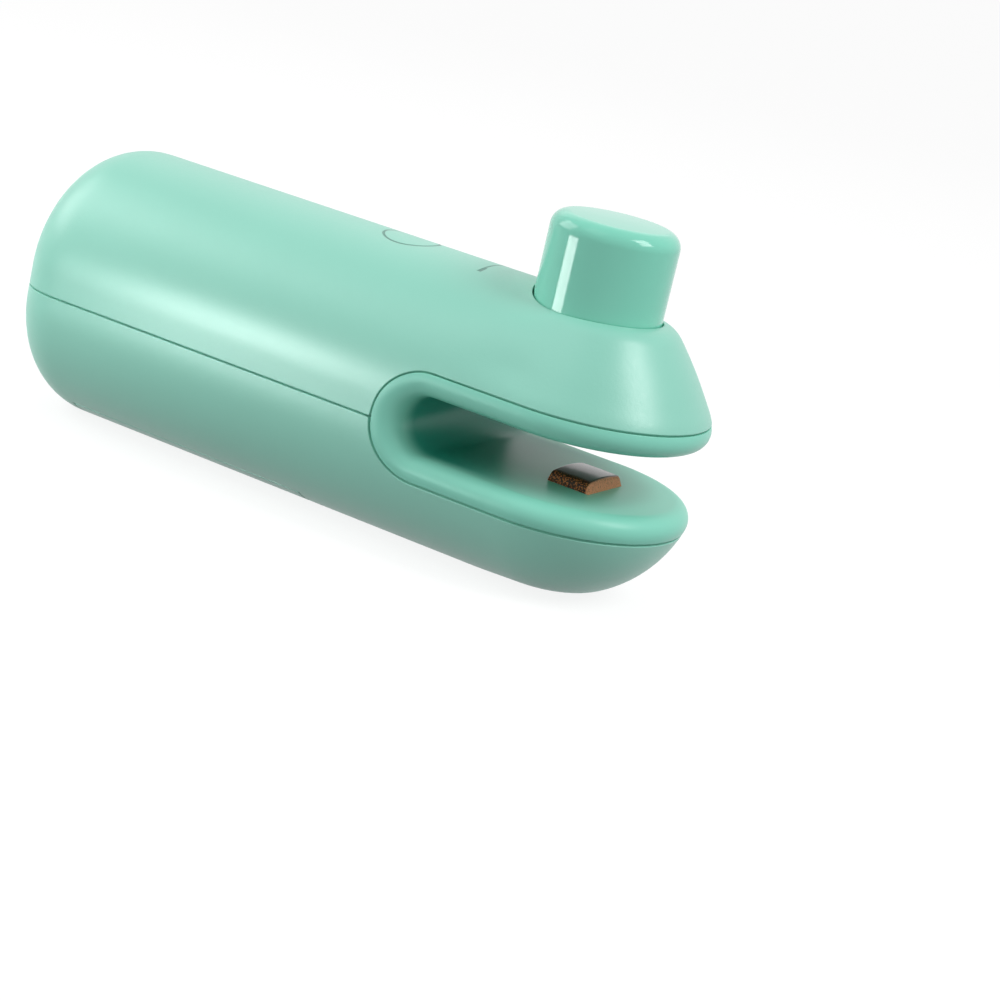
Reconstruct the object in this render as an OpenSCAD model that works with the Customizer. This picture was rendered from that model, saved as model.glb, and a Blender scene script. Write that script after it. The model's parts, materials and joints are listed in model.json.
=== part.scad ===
// Handheld bag sealer: a round two-part casing whose front is split by a lined mouth.
// Pressing the big button drives a padded foot down onto a small heater in the lower jaw.
// The body lies along X with its nose at +X. It rests on a flat cut underneath, at Z = 0.

/* [Body] */
// Length of the body from nose to tail
body_len = 114; // [112:1:130]
// Diameter of the round casings
body_d = 40; // [39.5:0.5:46]
// Height of the upper arc's centre above the seam
top_rise = 3.2; // [2:0.1:4.5]
// Depth of the lower arc's centre below the seam
bottom_drop = 1.2; // [0.6:0.1:3]
// Depth of the flat cut underneath
base_cut = 1; // [0.6:0.1:1.3]
// Wall of both casings
wall = 2; // [1.7:0.1:2.3]
// Rounding of the tail
tail_round = 10; // [6:0.5:12]
// Width of the seams between the shells
seam_gap = 0.25; // [0.15:0.05:0.4]

/* [Head] */
// Button axis back from the tip of the nose
button_to_nose = 20.5; // [19.5:0.5:22]
// Diameter of the flat land round the button
land_d = 23; // [22:0.5:24]
// Height of that land above the seam
land_rise = 22.3; // [21.8:0.1:23]
// Lean of the head's flank from upright, in degrees
flank_lean = 30; // [26:1:34]
// Rounding of the land's edge
shoulder_r = 2; // [1:0.5:2.5]

/* [Mouth] */
// Clear height between the jaws
mouth_gap = 9; // [8:0.5:10]
// Tip of the nose to the back wall of the mouth
mouth_depth = 38.9; // [37:0.1:40]
// Height of the mouth's middle above the seam
mouth_rise = 0.7; // [0.2:0.1:1.2]
// Thickness of the mouth liner and rounding of its rim
rim = 3.75; // [3.5:0.05:4.25]

/* [Heater] */
// Heater pad's length along the body
heater_l = 7; // [6:0.5:8]
// Heater pad's width across the body
heater_w = 10.7; // [9:0.1:12]
// Height of the pad above the lower jaw
heater_h = 2; // [1.6:0.1:2.6]
// Middle of the heater ahead of the button axis
heater_ahead = 4.6; // [3.5:0.1:5]
// Inset of the pad's top edge from its base
heater_bevel = 1.1; // [0.6:0.1:1.5]
// Thickness of the cloth over the heater
cloth_t = 0.3; // [0.2:0.05:0.4]
// Depth of the cloth's tucked edge below the jaw's face
cloth_skirt = 1; // [0.6:0.1:1.5]
// Width of the heating ribbon
ribbon_w = 3.6; // [2.5:0.1:4]
// Thickness of the heating ribbon
ribbon_t = 0.15; // [0.1:0.05:0.25]
// Thickness of the carrier's flange under the jaw
carrier_flange_t = 1.5; // [1:0.1:2.5]
// Reach of the carrier's flange past its block
carrier_flange_w = 2.5; // [2:0.1:3]
// Side of the square ribbon clamps
clamp_size = 2.4; // [2:0.1:3]

/* [Button] */
// Diameter of the press button
button_d = 19; // [18:0.5:19.5]
// Height of the button above the land
button_proud = 13.3; // [12:0.1:15]
// Rounding of the button's top edge
button_round = 2.5; // [1.5:0.1:3]
// Wall of the button
button_wall = 1.6; // [1.2:0.1:1.9]
// Gap between the button and the casing
button_gap = 0.35; // [0.25:0.05:0.5]
// Reach of the tabs that keep the button in
flange_w = 1.4; // [1:0.1:1.5]
// Thickness of those tabs
flange_t = 1; // [0.8:0.1:1.3]
// Width of those tabs
tab_w = 8; // [6:0.5:9]
// Gap above the tabs at rest
flange_gap = 0.3; // [0.2:0.05:0.5]
// Diameter of the plunger's stem
stem_d = 8; // [7:0.1:8.4]
// Running clearance of the stem in its guide, on the radius
stem_clear = 0.05; // [0.03:0.01:0.08]
// Depth of the button's socket for the stem
socket_depth = 6; // [4:0.5:8]
// Thickness of the press pad
pad_t = 1.2; // [0.8:0.1:1.5]
// Pad's depth above the upper jaw's face at rest
pad_recess = 0.1; // [0:0.05:0.3]
// Gap left between the pad and the heater at full press
press_gap = 0.1; // [0.05:0.05:0.3]
// Reach of the foot past the heater on each side
foot_over = 0.7; // [0.4:0.1:1]
// Gap round the foot in the jaw
foot_gap = 0.35; // [0.25:0.05:0.5]
// Gap above the foot at rest
foot_top_gap = 0.25; // [0.15:0.05:0.4]

/* [Guide and switch] */
// Diameter of the guide plate
guide_d = 22; // [21:0.5:24]
// Height of the sleeve on the guide plate
sleeve_h = 5; // [3:0.5:6]
// Wall of that sleeve
sleeve_wall = 1.1; // [0.9:0.1:1.2]
// Thickness of the contact blades
blade_t = 0.3; // [0.2:0.05:0.4]
// Width of the contact blades
blade_w = 4; // [3:0.5:6]
// Gap between the two blades
blade_gap = 0.55; // [0.4:0.05:0.7]
// Tails of the blades behind the block
blade_tail_l = 2; // [1.5:0.1:2.5]
// Width of those tails
blade_tail_w = 1.6; // [1.2:0.1:1.8]
// Gap between the upper blade and the pressed button
blade_press_gap = 0.3; // [0.2:0.05:0.4]
// Reach of the blades under the button's wall
blade_under = 0.6; // [0.3:0.1:1]
// Terminal block's distance ahead of the liner's back
block_ahead = 2; // [1.5:0.1:3]
// Cheeks of the terminal block beside the blades
block_cheek = 1; // [0.8:0.1:1.5]
// Length of the terminal block along the body
block_l = 4.5; // [3.5:0.5:5]
// Height of the terminal block
block_h = 3.5; // [3:0.5:5]

/* [Return spring] */
// Wire of the return spring
spring_wire = 0.9; // [0.7:0.05:1]
// Diameter of the spring through the middle of its wire
spring_d = 12.8; // [12.6:0.1:13.2]
// Number of curls
spring_turns = 8; // [6:1:10]
// Gap between the spring and the socket inside it
spring_clear = 0.5; // [0.4:0.05:0.7]

/* [Batteries] */
// Cells' diameter is this much less than the casing's inner radius
cell_room = 7.5; // [7.4:0.1:8.5]
// Diameter of a cell's nub
nub_d = 3.8; // [3.4:0.1:4.2]
// Height of a cell's nub
nub_h = 0.9; // [0.8:0.1:1.2]
// Clearance round the cells
cell_clear = 0.3; // [0.2:0.05:0.4]
// Wall of the battery cradle
cradle_t = 1.2; // [1:0.1:1.4]
// Top of the cradle below the seam
cradle_drop = 3.5; // [3:0.1:4]
// Clearance between the cradle and the casing
cradle_clear = 0.15; // [0.1:0.05:0.2]
// Height of the cradle's seat above the base
cradle_seat_z = 6; // [5:0.5:7]
// Room for a spring leaf at each end of the cells
leaf_room = 1.8; // [1.5:0.1:2.2]
// Gap between a leaf and its cell
leaf_slack = 0.1; // [0.05:0.05:0.2]
// Thickness of the contact plates and leaves
leaf_t = 0.4; // [0.3:0.05:0.5]
// Half height of a contact plate
plate_half = 4; // [3.5:0.5:4.5]
// Width of a contact plate
plate_w = 8; // [6:0.5:10]
// Width of the contacts' tags
tag_w = 4; // [3:0.5:5]
// Reach of a tag past the cradle
tag_l = 2.6; // [2:0.1:3]
// Drop of the tags below the cells' middle
tag_drop = 2; // [1.5:0.5:2.5]
// Gap round the battery door
door_gap = 0.3; // [0.25:0.05:0.4]
// Opening's reach past the cells at each end
door_over = 0.6; // [0.4:0.1:0.9]
// Thickness of the door's ribs and snap legs
rib_t = 1.2; // [1:0.1:1.6]
// Width of the door's ribs
rib_w = 5; // [4:0.5:6]
// Width of the door's snap legs
leg_w = 8; // [6:0.5:9]

/* [Screws and wires] */
// Diameter of a casing screw's head
screw_head_d = 4; // [3.6:0.1:4.2]
// Height of a casing screw's head
screw_head_h = 1.6; // [1.2:0.1:2]
// Diameter of a casing screw's shank
screw_d = 2.2; // [2:0.1:2.4]
// Height of the screw seats above the base
screw_seat = 9; // [8:0.5:10]
// Depth of thread in the far piece
screw_bite = 7; // [6:0.5:9]
// Clearance round a screw, on the radius
screw_clear = 0.15; // [0.1:0.05:0.2]
// Clearance of a screw's thread in its hole, on the radius
thread_clear = 0.05; // [0.03:0.01:0.08]
// Wall of a boss outside its counterbore
boss_wall = 0.85; // [0.7:0.05:0.9]
// Room for the wires between the middle boss and the mouth
wire_room = 6; // [5:0.5:7]
// Jaw screw's distance behind the button axis
jaw_screw_back = 6; // [5:0.5:7]
// Liner left over the tip of the jaw screw
jaw_screw_cover = 0.75; // [0.6:0.05:1]
// Guide screws' distance from the middle
guide_screw_y = 8.9; // [8.7:0.1:9.1]
// Height of a guide screw's head
guide_screw_head = 1.1; // [0.8:0.1:1.1]
// Diameter of the guide's small screws
guide_screw_d = 1.6; // [1.4:0.1:1.8]
// Diameter of the inner wires over their sleeve
wire_d = 1.5; // [1.2:0.1:1.8]

/* [Hidden] */
$fn = 72;
mint = "#8ed4be";
gloss_mint = "#7ccbb2";
brass = "#c9a552";
// Reach of cutting blocks past the part, and overlap of joined pieces
far = 200;
bite = 0.5;
// Length of the ties inside the forms and their distance in from the surface
tie_l = 3;
tie_in = 0.2;

// Body
body_r = body_d / 2;
seam_z = body_r + bottom_drop - base_cut;
top_axis_z = seam_z + top_rise;
low_axis_z = seam_z - bottom_drop;
nose_x = body_len / 2;
tail_x = -body_len / 2;
button_x = nose_x - button_to_nose;

// Mouth and liner
mouth_z = seam_z + mouth_rise;
mouth_r = mouth_gap / 2;
liner_r = mouth_r + rim;
jaw_top_z = mouth_z + mouth_r;
jaw_low_z = mouth_z - mouth_r;
arm_top_z = mouth_z + liner_r;
arm_low_z = mouth_z - liner_r;
mouth_back_x = nose_x - mouth_depth + mouth_r;
liner_back_x = mouth_back_x - liner_r;
upper_half = sqrt(pow(body_r, 2) - pow(arm_top_z + seam_gap - top_axis_z, 2));
lower_half = sqrt(pow(body_r, 2) - pow(low_axis_z - arm_low_z + seam_gap, 2));
liner_half = min(upper_half, lower_half);
head_x = nose_x - upper_half;

// Land and button
land_z = seam_z + land_rise;
land_r = land_d / 2;
shoulder_steps = 5;
button_r = button_d / 2;
button_top_z = land_z + button_proud;
flange_top_z = land_z - wall - flange_gap;
flange_low_z = flange_top_z - flange_t;
cavity_r = button_r - button_wall;
cavity_top_z = button_top_z - button_wall;

// Heater, foot and stroke
heater_x = button_x + heater_ahead;
heater_top_z = jaw_low_z + heater_h;
stroke = mouth_gap - heater_h - press_gap + pad_recess;
pad_low_z = jaw_top_z + pad_recess;
foot_low_z = pad_low_z + pad_t;
foot_top_z = arm_top_z - foot_top_gap;
foot_w = heater_w + 2 * foot_over;
foot_front_x = heater_x + heater_l / 2 + foot_over;
foot_rear_x = button_x - stem_d / 2 - foot_over;
core_l = heater_l - 2 * cloth_t;
core_w = heater_w - 2 * (cloth_t + ribbon_t);
core_top_z = heater_top_z - cloth_t - ribbon_t;
flange_bottom_z = arm_low_z - carrier_flange_t;

// Guide, blades and spring
pressed_z = flange_low_z - stroke;
blade_up_z = pressed_z - blade_press_gap - blade_t;
blade_low_z = blade_up_z - blade_gap - blade_t;
guide_top_z = blade_low_z;
sleeve_r = stem_d / 2 + stem_clear + sleeve_wall;
block_rear_x = liner_back_x + block_ahead;
block_w = blade_w + 2 * block_cheek;
blade_tip_x = button_x - button_r + blade_under;
blade_tail_y = (blade_w - blade_tail_w) / 2;
socket_r = (spring_d - spring_wire) / 2 - spring_clear;
spring_low_z = guide_top_z + spring_wire / 2;
spring_high_z = cavity_top_z - spring_wire / 2;
spring_rings = 8;
spring_sides = 6;

// Cells, cradle and door: the cells fill the bay, 10.5 by 44.5 at the sizes above
cell_d = body_r - wall - cell_room;
cell_y = (cell_d + cell_clear) / 2;
cradle_top_z = seam_z - cradle_drop;
cell_z = cradle_top_z - cradle_t - cell_clear - cell_d / 2;
boss_r = screw_head_d / 2 + screw_clear + boss_wall;
cradle_front_x = liner_back_x - seam_gap - wire_room - 2 * boss_r - 2 * cradle_clear;
bay_front_x = cradle_front_x - cradle_t;
cell_front_x = bay_front_x - leaf_room;
tail_screw_x = tail_x + wall + cradle_clear + boss_r;
cradle_rear_x = tail_screw_x + boss_r + cradle_clear;
bay_rear_x = cradle_rear_x + cradle_t;
cell_rear_x = bay_rear_x + leaf_room;
cell_len = cell_front_x - cell_rear_x;
door_half = cell_y + cell_d / 2 + cell_clear - door_gap;
door_front_x = cell_front_x + door_over - door_gap;
door_rear_x = cell_rear_x - door_over + door_gap;
rib_share = 0.2;

// Screws: each spot is x and y
mid_screw_x = cradle_front_x + cradle_clear + boss_r;
jaw_screw_x = button_x - jaw_screw_back;
casing_tip_z = seam_z + screw_bite;
jaw_tip_z = jaw_low_z - jaw_screw_cover;
casing_spots = [[tail_screw_x, 0], [mid_screw_x, 0]];
jaw_spots = [[jaw_screw_x, 0]];
guide_screw_low_z = jaw_top_z + rim / 3;

// Wires
wire_sides = 8;
tag_x = cradle_front_x + tag_l;
tag_z = cell_z - tag_drop;
tag_wire_z = tag_z - leaf_t - wire_d / 2;
clamp_y = core_w / 2 + ribbon_t + clamp_size / 2;
clamp_end_x = heater_x - ribbon_w / 2;
clamp_mid_z = flange_bottom_z - clamp_size / 2;
lift_x = liner_back_x - seam_gap - wire_d;

// Forms of the casings

// Half outline of the straight body and its tail, radius against length, drawn in by inset
module body_half(inset) {
    r = body_r - inset;
    tail_r = tail_round - inset;
    tail_end = tail_x + inset;
    translate([0, tail_end + tail_r]) square([r, head_x - tail_end - tail_r]);
    translate([0, tail_end]) square([r - tail_r, tail_r + bite]);
    intersection() {
        translate([r - tail_r, tail_end + tail_r]) circle(tail_r);
        translate([0, tail_end]) square([r, tail_r]);
    }
}

// Half-round body about the axis at height axis_z, on the side given by turn
module half_round(inset, axis_z, turn) {
    translate([0, 0, axis_z]) rotate([0, 90, 0]) rotate([0, 0, turn])
        rotate_extrude(angle = 180) body_half(inset);
}

// Straight-sided band of the body between two heights
module band(inset, low_z, high_z) {
    translate([0, 0, low_z]) linear_extrude(high_z - low_z) {
        for (side = [0, 1]) mirror([0, side]) rotate(-90) mirror([1, 0]) body_half(inset);
    }
}

// Half section of the head's flare, with its land's edge rounded in short steps on the outside
module head_section(inset) {
    top_z = land_z - inset;
    top_r = land_r + inset * tan(flank_lean) - inset / cos(flank_lean);
    base_z = top_axis_z + body_r / 2;
    base_r = top_r + (top_z - base_z) * tan(flank_lean);
    round_r = max(shoulder_r - inset, 0);
    mid = [top_r - round_r / tan(45 + flank_lean / 2), top_z - round_r];
    steps = round_r > 0 ? shoulder_steps : 0;
    edge = [
        for (k = [0 : steps])
            let (turn = flank_lean + (90 - flank_lean) * k / max(steps, 1))
                mid + round_r * [cos(turn), sin(turn)]
    ];
    polygon(concat([[0, base_z], [base_r, base_z]], edge, [[0, top_z]]));
}

// Front half turn of a section about the upright axis of the nose
module nose_turn() {
    translate([head_x, 0, 0]) rotate([0, 0, -90]) rotate_extrude(angle = 180) children();
}

// Half section of the upper body from low_z up
module upper_section(inset, low_z) {
    r = body_r - inset;
    intersection() {
        translate([0, top_axis_z]) circle(r);
        translate([0, top_axis_z]) square([r, r]);
    }
    translate([0, low_z]) square([r, top_axis_z - low_z]);
}

// Half section of the lower body up to high_z
module lower_section(inset, high_z) {
    r = body_r - inset;
    intersection() {
        translate([0, low_axis_z]) circle(r);
        translate([0, low_axis_z - r]) square([r, r]);
    }
    translate([0, low_axis_z - bite]) square([r, high_z - low_axis_z + bite]);
}

// Slice of a half section across the start of the nose, which ties body and nose together
module nose_tie() {
    translate([head_x - tie_l / 2, 0, 0]) rotate([90, 0, 90]) linear_extrude(tie_l) {
        children();
        mirror([1, 0]) children();
    }
}

// Upper body from low_z up: band, rounded top, round nose and flared head
module upper_form(inset, low_z) {
    half_round(inset, top_axis_z, 90);
    band(inset, low_z, top_axis_z);
    band(inset + tie_in, top_axis_z - tie_l / 2, top_axis_z + tie_l / 2);
    nose_turn() upper_section(inset, low_z);
    nose_tie() upper_section(inset + tie_in, low_z + tie_in);
    translate([head_x, 0, 0]) rotate_extrude() head_section(inset);
}

// Lower body up to high_z: rounded bottom, band and round nose
module lower_form(inset, high_z) {
    half_round(inset, low_axis_z, -90);
    band(inset, low_axis_z, high_z);
    band(inset + tie_in, low_axis_z - bite, low_axis_z + bite);
    nose_turn() lower_section(inset, high_z);
    nose_tie() lower_section(inset + tie_in, high_z - tie_in);
}

module below(z) {
    translate([-far / 2, -far / 2, z - far]) cube(far);
}

// Space that the mouth liner takes, grown by a gap
module liner_space(grow) {
    r = liner_r + grow;
    translate([mouth_back_x, 0, mouth_z]) rotate([90, 0, 0]) linear_extrude(far, center = true) {
        circle(r);
        translate([0, -r]) square([far, 2 * r]);
    }
}

// Boss from the floor of the lower casing up to high_z
module low_boss(spot, high_z) {
    intersection() {
        translate([spot[0], spot[1], 0]) cylinder(r = boss_r, h = high_z);
        lower_form(wall / 2, seam_z);
    }
}

module screw_passage(spot) {
    translate([spot[0], spot[1], -bite]) {
        cylinder(r = screw_head_d / 2 + screw_clear, h = screw_seat + bite);
        cylinder(r = screw_d / 2 + screw_clear, h = far);
    }
}

// Casings

module upper_casing() {
    color(mint) difference() {
        union() {
            difference() {
                upper_form(0, seam_z + seam_gap / 2);
                upper_form(wall, seam_z - bite);
            }
            for (spot = casing_spots) {
                intersection() {
                    translate([spot[0], spot[1], seam_z]) cylinder(r = boss_r, h = far / 2);
                    upper_form(wall / 2, seam_z - bite);
                }
            }
        }
        liner_space(seam_gap);
        translate([button_x, 0, top_axis_z]) cylinder(r = button_r + button_gap, h = far);
        for (spot = casing_spots) {
            translate([spot[0], spot[1], 0])
                cylinder(r = screw_d / 2 + thread_clear, h = casing_tip_z + bite);
        }
    }
}

// Block over the battery door's outline, grown by a gap
module door_block(grow) {
    half = door_half + grow;
    translate([door_rear_x - grow, -half, -far / 2])
        cube([door_front_x - door_rear_x + 2 * grow, 2 * half, far / 2 + cell_z]);
}

module lower_casing() {
    color(mint) difference() {
        union() {
            difference() {
                lower_form(0, seam_z - seam_gap / 2);
                lower_form(wall, seam_z + bite);
                door_block(door_gap);
            }
            for (spot = casing_spots) low_boss(spot, seam_z);
            for (spot = jaw_spots) low_boss(spot, arm_low_z);
            // Ribs that carry the cradle's end walls
            for (x = [cradle_rear_x, bay_front_x]) {
                intersection() {
                    translate([x, -far / 2, 0]) cube([cradle_t, far, cradle_seat_z]);
                    lower_form(wall / 2, seam_z);
                }
            }
        }
        difference() {
            liner_space(seam_gap);
            for (spot = jaw_spots) translate([spot[0], spot[1], 0]) cylinder(r = boss_r, h = arm_low_z);
        }
        below(0);
        for (spot = concat(casing_spots, jaw_spots)) screw_passage(spot);
    }
}

// Mouth liner

// Section across one arm: y against depth from the mouth's face, with a round rim
module arm_section() {
    flat = liner_half - rim;
    translate([-flat, 0]) square([2 * flat, rim]);
    for (side = [-1, 1]) {
        intersection() {
            translate([side * flat, rim]) circle(rim);
            translate([side > 0 ? flat : -liner_half, 0]) square([rim, rim]);
        }
    }
}

module liner_arm() {
    translate([mouth_back_x, 0, mouth_r]) rotate([90, 0, 90])
        linear_extrude(head_x - mouth_back_x) arm_section();
    translate([head_x, 0, mouth_r]) rotate([0, 0, -90]) rotate_extrude(angle = 180) {
        intersection() {
            arm_section();
            square([liner_half, rim]);
        }
    }
}

module mouth_liner() {
    color(mint) translate([0, 0, mouth_z]) difference() {
        union() {
            liner_arm();
            mirror([0, 0, 1]) liner_arm();
            translate([mouth_back_x, 0, 0]) rotate([90, 0, 0]) rotate([0, 0, 90])
                rotate_extrude(angle = 180) translate([mouth_r, 0]) rotate(-90) arm_section();
        }
        // Opening for the foot in the upper arm
        translate([foot_rear_x - foot_gap, -foot_w / 2 - foot_gap, 0])
            cube([foot_front_x - foot_rear_x + 2 * foot_gap, foot_w + 2 * foot_gap, far]);
        // Pocket for the heater in the lower arm
        translate([heater_x - heater_l / 2, -heater_w / 2, -far]) cube([heater_l, heater_w, far]);
        // Threads of the jaw screw and of the guide's screws
        for (spot = jaw_spots) {
            translate([spot[0], spot[1], -far])
                cylinder(r = screw_d / 2 + thread_clear, h = far + jaw_tip_z - mouth_z + thread_clear);
        }
        for (side = [-1, 1]) {
            translate([button_x, side * guide_screw_y, guide_screw_low_z - thread_clear - mouth_z])
                cylinder(r = guide_screw_d / 2 + thread_clear, h = far);
        }
    }
}

// Button and what moves with it

module press_button() {
    edge_z = button_top_z - button_round;
    edge_r = button_r - button_round;
    color(gloss_mint) translate([button_x, 0, 0]) {
        difference() {
            union() {
                rotate_extrude() {
                    translate([0, flange_low_z]) square([button_r, edge_z - flange_low_z]);
                    translate([0, edge_z - bite]) square([edge_r, button_round + bite]);
                    intersection() {
                        translate([edge_r, edge_z]) circle(button_round);
                        translate([edge_r, edge_z]) square([button_round, button_round]);
                    }
                }
                // Tabs at the front and the rear
                intersection() {
                    translate([0, 0, flange_low_z]) cylinder(r = button_r + flange_w, h = flange_t);
                    translate([-far / 2, -tab_w / 2, 0]) cube([far, tab_w, far]);
                }
            }
            translate([0, 0, flange_low_z - bite])
                cylinder(r = cavity_r, h = cavity_top_z - flange_low_z + bite);
        }
        // Socket for the stem
        difference() {
            translate([0, 0, cavity_top_z - socket_depth])
                cylinder(r = socket_r, h = socket_depth + button_wall / 2);
            translate([0, 0, cavity_top_z - socket_depth - bite])
                cylinder(r = stem_d / 2 + stem_clear, h = socket_depth + bite);
        }
    }
}

module plunger() {
    color("#e9e6da") {
        translate([button_x, 0, foot_low_z]) cylinder(d = stem_d, h = cavity_top_z - foot_low_z);
        translate([foot_rear_x, -foot_w / 2, foot_low_z])
            cube([foot_front_x - foot_rear_x, foot_w, foot_top_z - foot_low_z]);
    }
}

module press_pad() {
    color("#b4472f") translate([heater_x - heater_l / 2, -heater_w / 2, pad_low_z])
        cube([heater_l, heater_w, pad_t]);
}

// Return spring: one tube wound along a helix from the guide to the button's ceiling

function spring_at(turn) = [
    button_x + spring_d / 2 * cos(360 * turn),
    spring_d / 2 * sin(360 * turn),
    spring_low_z + (spring_high_z - spring_low_z) * turn / spring_turns
];

// Ring of the tube at one turn, square to the helix
function spring_ring(turn) =
    let (
        out = [cos(360 * turn), sin(360 * turn), 0],
        climb = (spring_high_z - spring_low_z) / spring_turns,
        tilt = atan2(climb, PI * spring_d),
        up = [sin(360 * turn) * sin(tilt), -cos(360 * turn) * sin(tilt), cos(tilt)],
        step = 360 / spring_sides
    )
    [for (k = [0 : spring_sides - 1])
        spring_at(turn) + spring_wire / 2 * (cos(step * (k + 0.5)) * out + sin(step * (k + 0.5)) * up)];

// Closed triangle mesh through a list of equal rings
module tube(rings) {
    count = len(rings);
    sides = len(rings[0]);
    last = (count - 1) * sides;
    skin = [
        for (i = [0 : count - 2], k = [0 : sides - 1])
            let (a = i * sides + k, b = i * sides + (k + 1) % sides)
                each [[a, a + sides, b], [b, a + sides, b + sides]]
    ];
    ends = [for (k = [1 : sides - 2]) each [[0, k, k + 1], [last, last + k + 1, last + k]]];
    polyhedron(points = [for (ring = rings) each ring], faces = concat(skin, ends));
}

module return_spring() {
    steps = spring_turns * spring_rings;
    color("silver") tube([for (i = [0 : steps]) spring_ring(i / spring_rings)]);
    curl_steps = [for (i = [-20 : 20]) norm(spring_at(2 + i / 100) - spring_at(1))];
    echo(spring_least_gap = min(curl_steps) - spring_wire);
}

// Guide and switch

module button_guide() {
    guide_t = guide_top_z - arm_top_z;
    color("#d9d6cc") difference() {
        union() {
            translate([button_x, 0, arm_top_z]) {
                cylinder(d = guide_d, h = guide_t);
                cylinder(r = sleeve_r, h = guide_t + sleeve_h);
            }
            translate([block_rear_x, -block_w / 2, arm_top_z])
                cube([button_x - block_rear_x, block_w, guide_t]);
        }
        translate([button_x, 0, 0]) cylinder(r = stem_d / 2 + stem_clear, h = far);
        for (side = [-1, 1]) {
            translate([button_x, side * guide_screw_y, 0])
                cylinder(r = guide_screw_d / 2 + screw_clear, h = far);
        }
    }
}

module guide_screws() {
    color("silver") for (side = [-1, 1]) {
        translate([button_x, side * guide_screw_y, guide_screw_low_z])
            cylinder(d = guide_screw_d, h = guide_top_z - guide_screw_low_z + bite);
        translate([button_x, side * guide_screw_y, guide_top_z])
            cylinder(r = guide_screw_d, h = guide_screw_head);
    }
}

// Contact blade with a dimple towards the other blade and a tail on one side behind the block
module blade(low_z, facing) {
    dimple_h = blade_t / 2 + blade_gap / 4;
    dimple_z = low_z + blade_t / 2 - (facing > 0 ? 0 : dimple_h);
    color(brass) {
        translate([block_rear_x, -blade_w / 2, low_z]) cube([blade_tip_x - block_rear_x, blade_w, blade_t]);
        translate([blade_tip_x - blade_w / 2, 0, dimple_z]) cylinder(d = blade_w / 3, h = dimple_h);
        translate([block_rear_x - blade_tail_l, facing * blade_tail_y - blade_tail_w / 2, low_z])
            cube([blade_tail_l + bite, blade_tail_w, blade_t]);
    }
}

module contact_blade_upper() {
    blade(blade_up_z, -1);
}

module contact_blade_lower() {
    blade(blade_low_z, 1);
}

module terminal_block() {
    color("#3a3a3c") difference() {
        translate([block_rear_x, -block_w / 2, guide_top_z]) cube([block_l, block_w, block_h]);
        translate([block_rear_x - bite, -blade_w / 2, blade_low_z - bite])
            cube([block_l + 2 * bite, blade_w, blade_t + bite]);
        translate([block_rear_x - bite, -blade_w / 2, blade_up_z])
            cube([block_l + 2 * bite, blade_w, blade_t]);
    }
}

// Heater

// Side view of a pad: upright skirt from low_z to the jaw, then a slope to the top
function pad_side(half, low_z, top_z) = [
    [-half, low_z], [half, low_z], [half, jaw_low_z],
    [half - heater_bevel, top_z], [heater_bevel - half, top_z], [-half, jaw_low_z]
];

// Pad with four sloped sides
module bevelled_pad(l, w, low_z, top_z) {
    intersection() {
        rotate([90, 0, 0]) linear_extrude(far, center = true) polygon(pad_side(l / 2, low_z, top_z));
        rotate([90, 0, 90]) linear_extrude(far, center = true) polygon(pad_side(w / 2, low_z, top_z));
    }
}

module heater_cloth() {
    skirt_z = jaw_low_z - cloth_skirt;
    color("#6b4a34") translate([heater_x, 0, 0]) difference() {
        bevelled_pad(heater_l, heater_w, skirt_z, heater_top_z);
        bevelled_pad(core_l, heater_w - 2 * cloth_t, skirt_z - bite, heater_top_z - cloth_t);
    }
}

module heating_ribbon() {
    end_z = flange_bottom_z - clamp_size;
    color("#9a9a98") translate([heater_x, 0, 0]) intersection() {
        difference() {
            bevelled_pad(core_l, core_w + 2 * ribbon_t, end_z, core_top_z + ribbon_t);
            bevelled_pad(far, core_w, -far, core_top_z);
        }
        translate([-ribbon_w / 2, -far / 2, 0]) cube([ribbon_w, far, far]);
    }
}

module heater_carrier() {
    flange_l = core_l + 2 * carrier_flange_w;
    flange_wide = heater_w + 2 * carrier_flange_w;
    slot_l = ribbon_w + 2 * screw_clear;
    color("#b58a5a") translate([heater_x, 0, 0]) difference() {
        union() {
            bevelled_pad(core_l, core_w, arm_low_z - bite, core_top_z);
            translate([-flange_l / 2, -flange_wide / 2, flange_bottom_z])
                cube([flange_l, flange_wide, carrier_flange_t]);
        }
        // Slots that the ribbon's ends pass through
        for (side = [0, 1]) {
            mirror([0, side, 0]) translate([-slot_l / 2, core_w / 2, flange_bottom_z - bite])
                cube([slot_l, ribbon_t, carrier_flange_t + bite]);
        }
    }
}

module ribbon_clamps() {
    color(brass) for (side = [0, 1]) {
        mirror([0, side, 0])
            translate([clamp_end_x, core_w / 2 + ribbon_t, flange_bottom_z - clamp_size])
                cube([ribbon_w, clamp_size, clamp_size]);
    }
}

// Batteries, cradle and door

// Cell on one side, with its nub to the front for side 1 and to the rear for side -1
module cell(side) {
    color("#3f6f9f") translate([(cell_front_x + cell_rear_x) / 2, side * cell_y, cell_z])
        rotate([0, side * 90, 0]) translate([0, 0, -cell_len / 2]) {
            cylinder(d = cell_d, h = cell_len - nub_h);
            cylinder(d = nub_d, h = cell_len);
        }
}

module battery_left() {
    cell(1);
}

module battery_right() {
    cell(-1);
}

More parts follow.
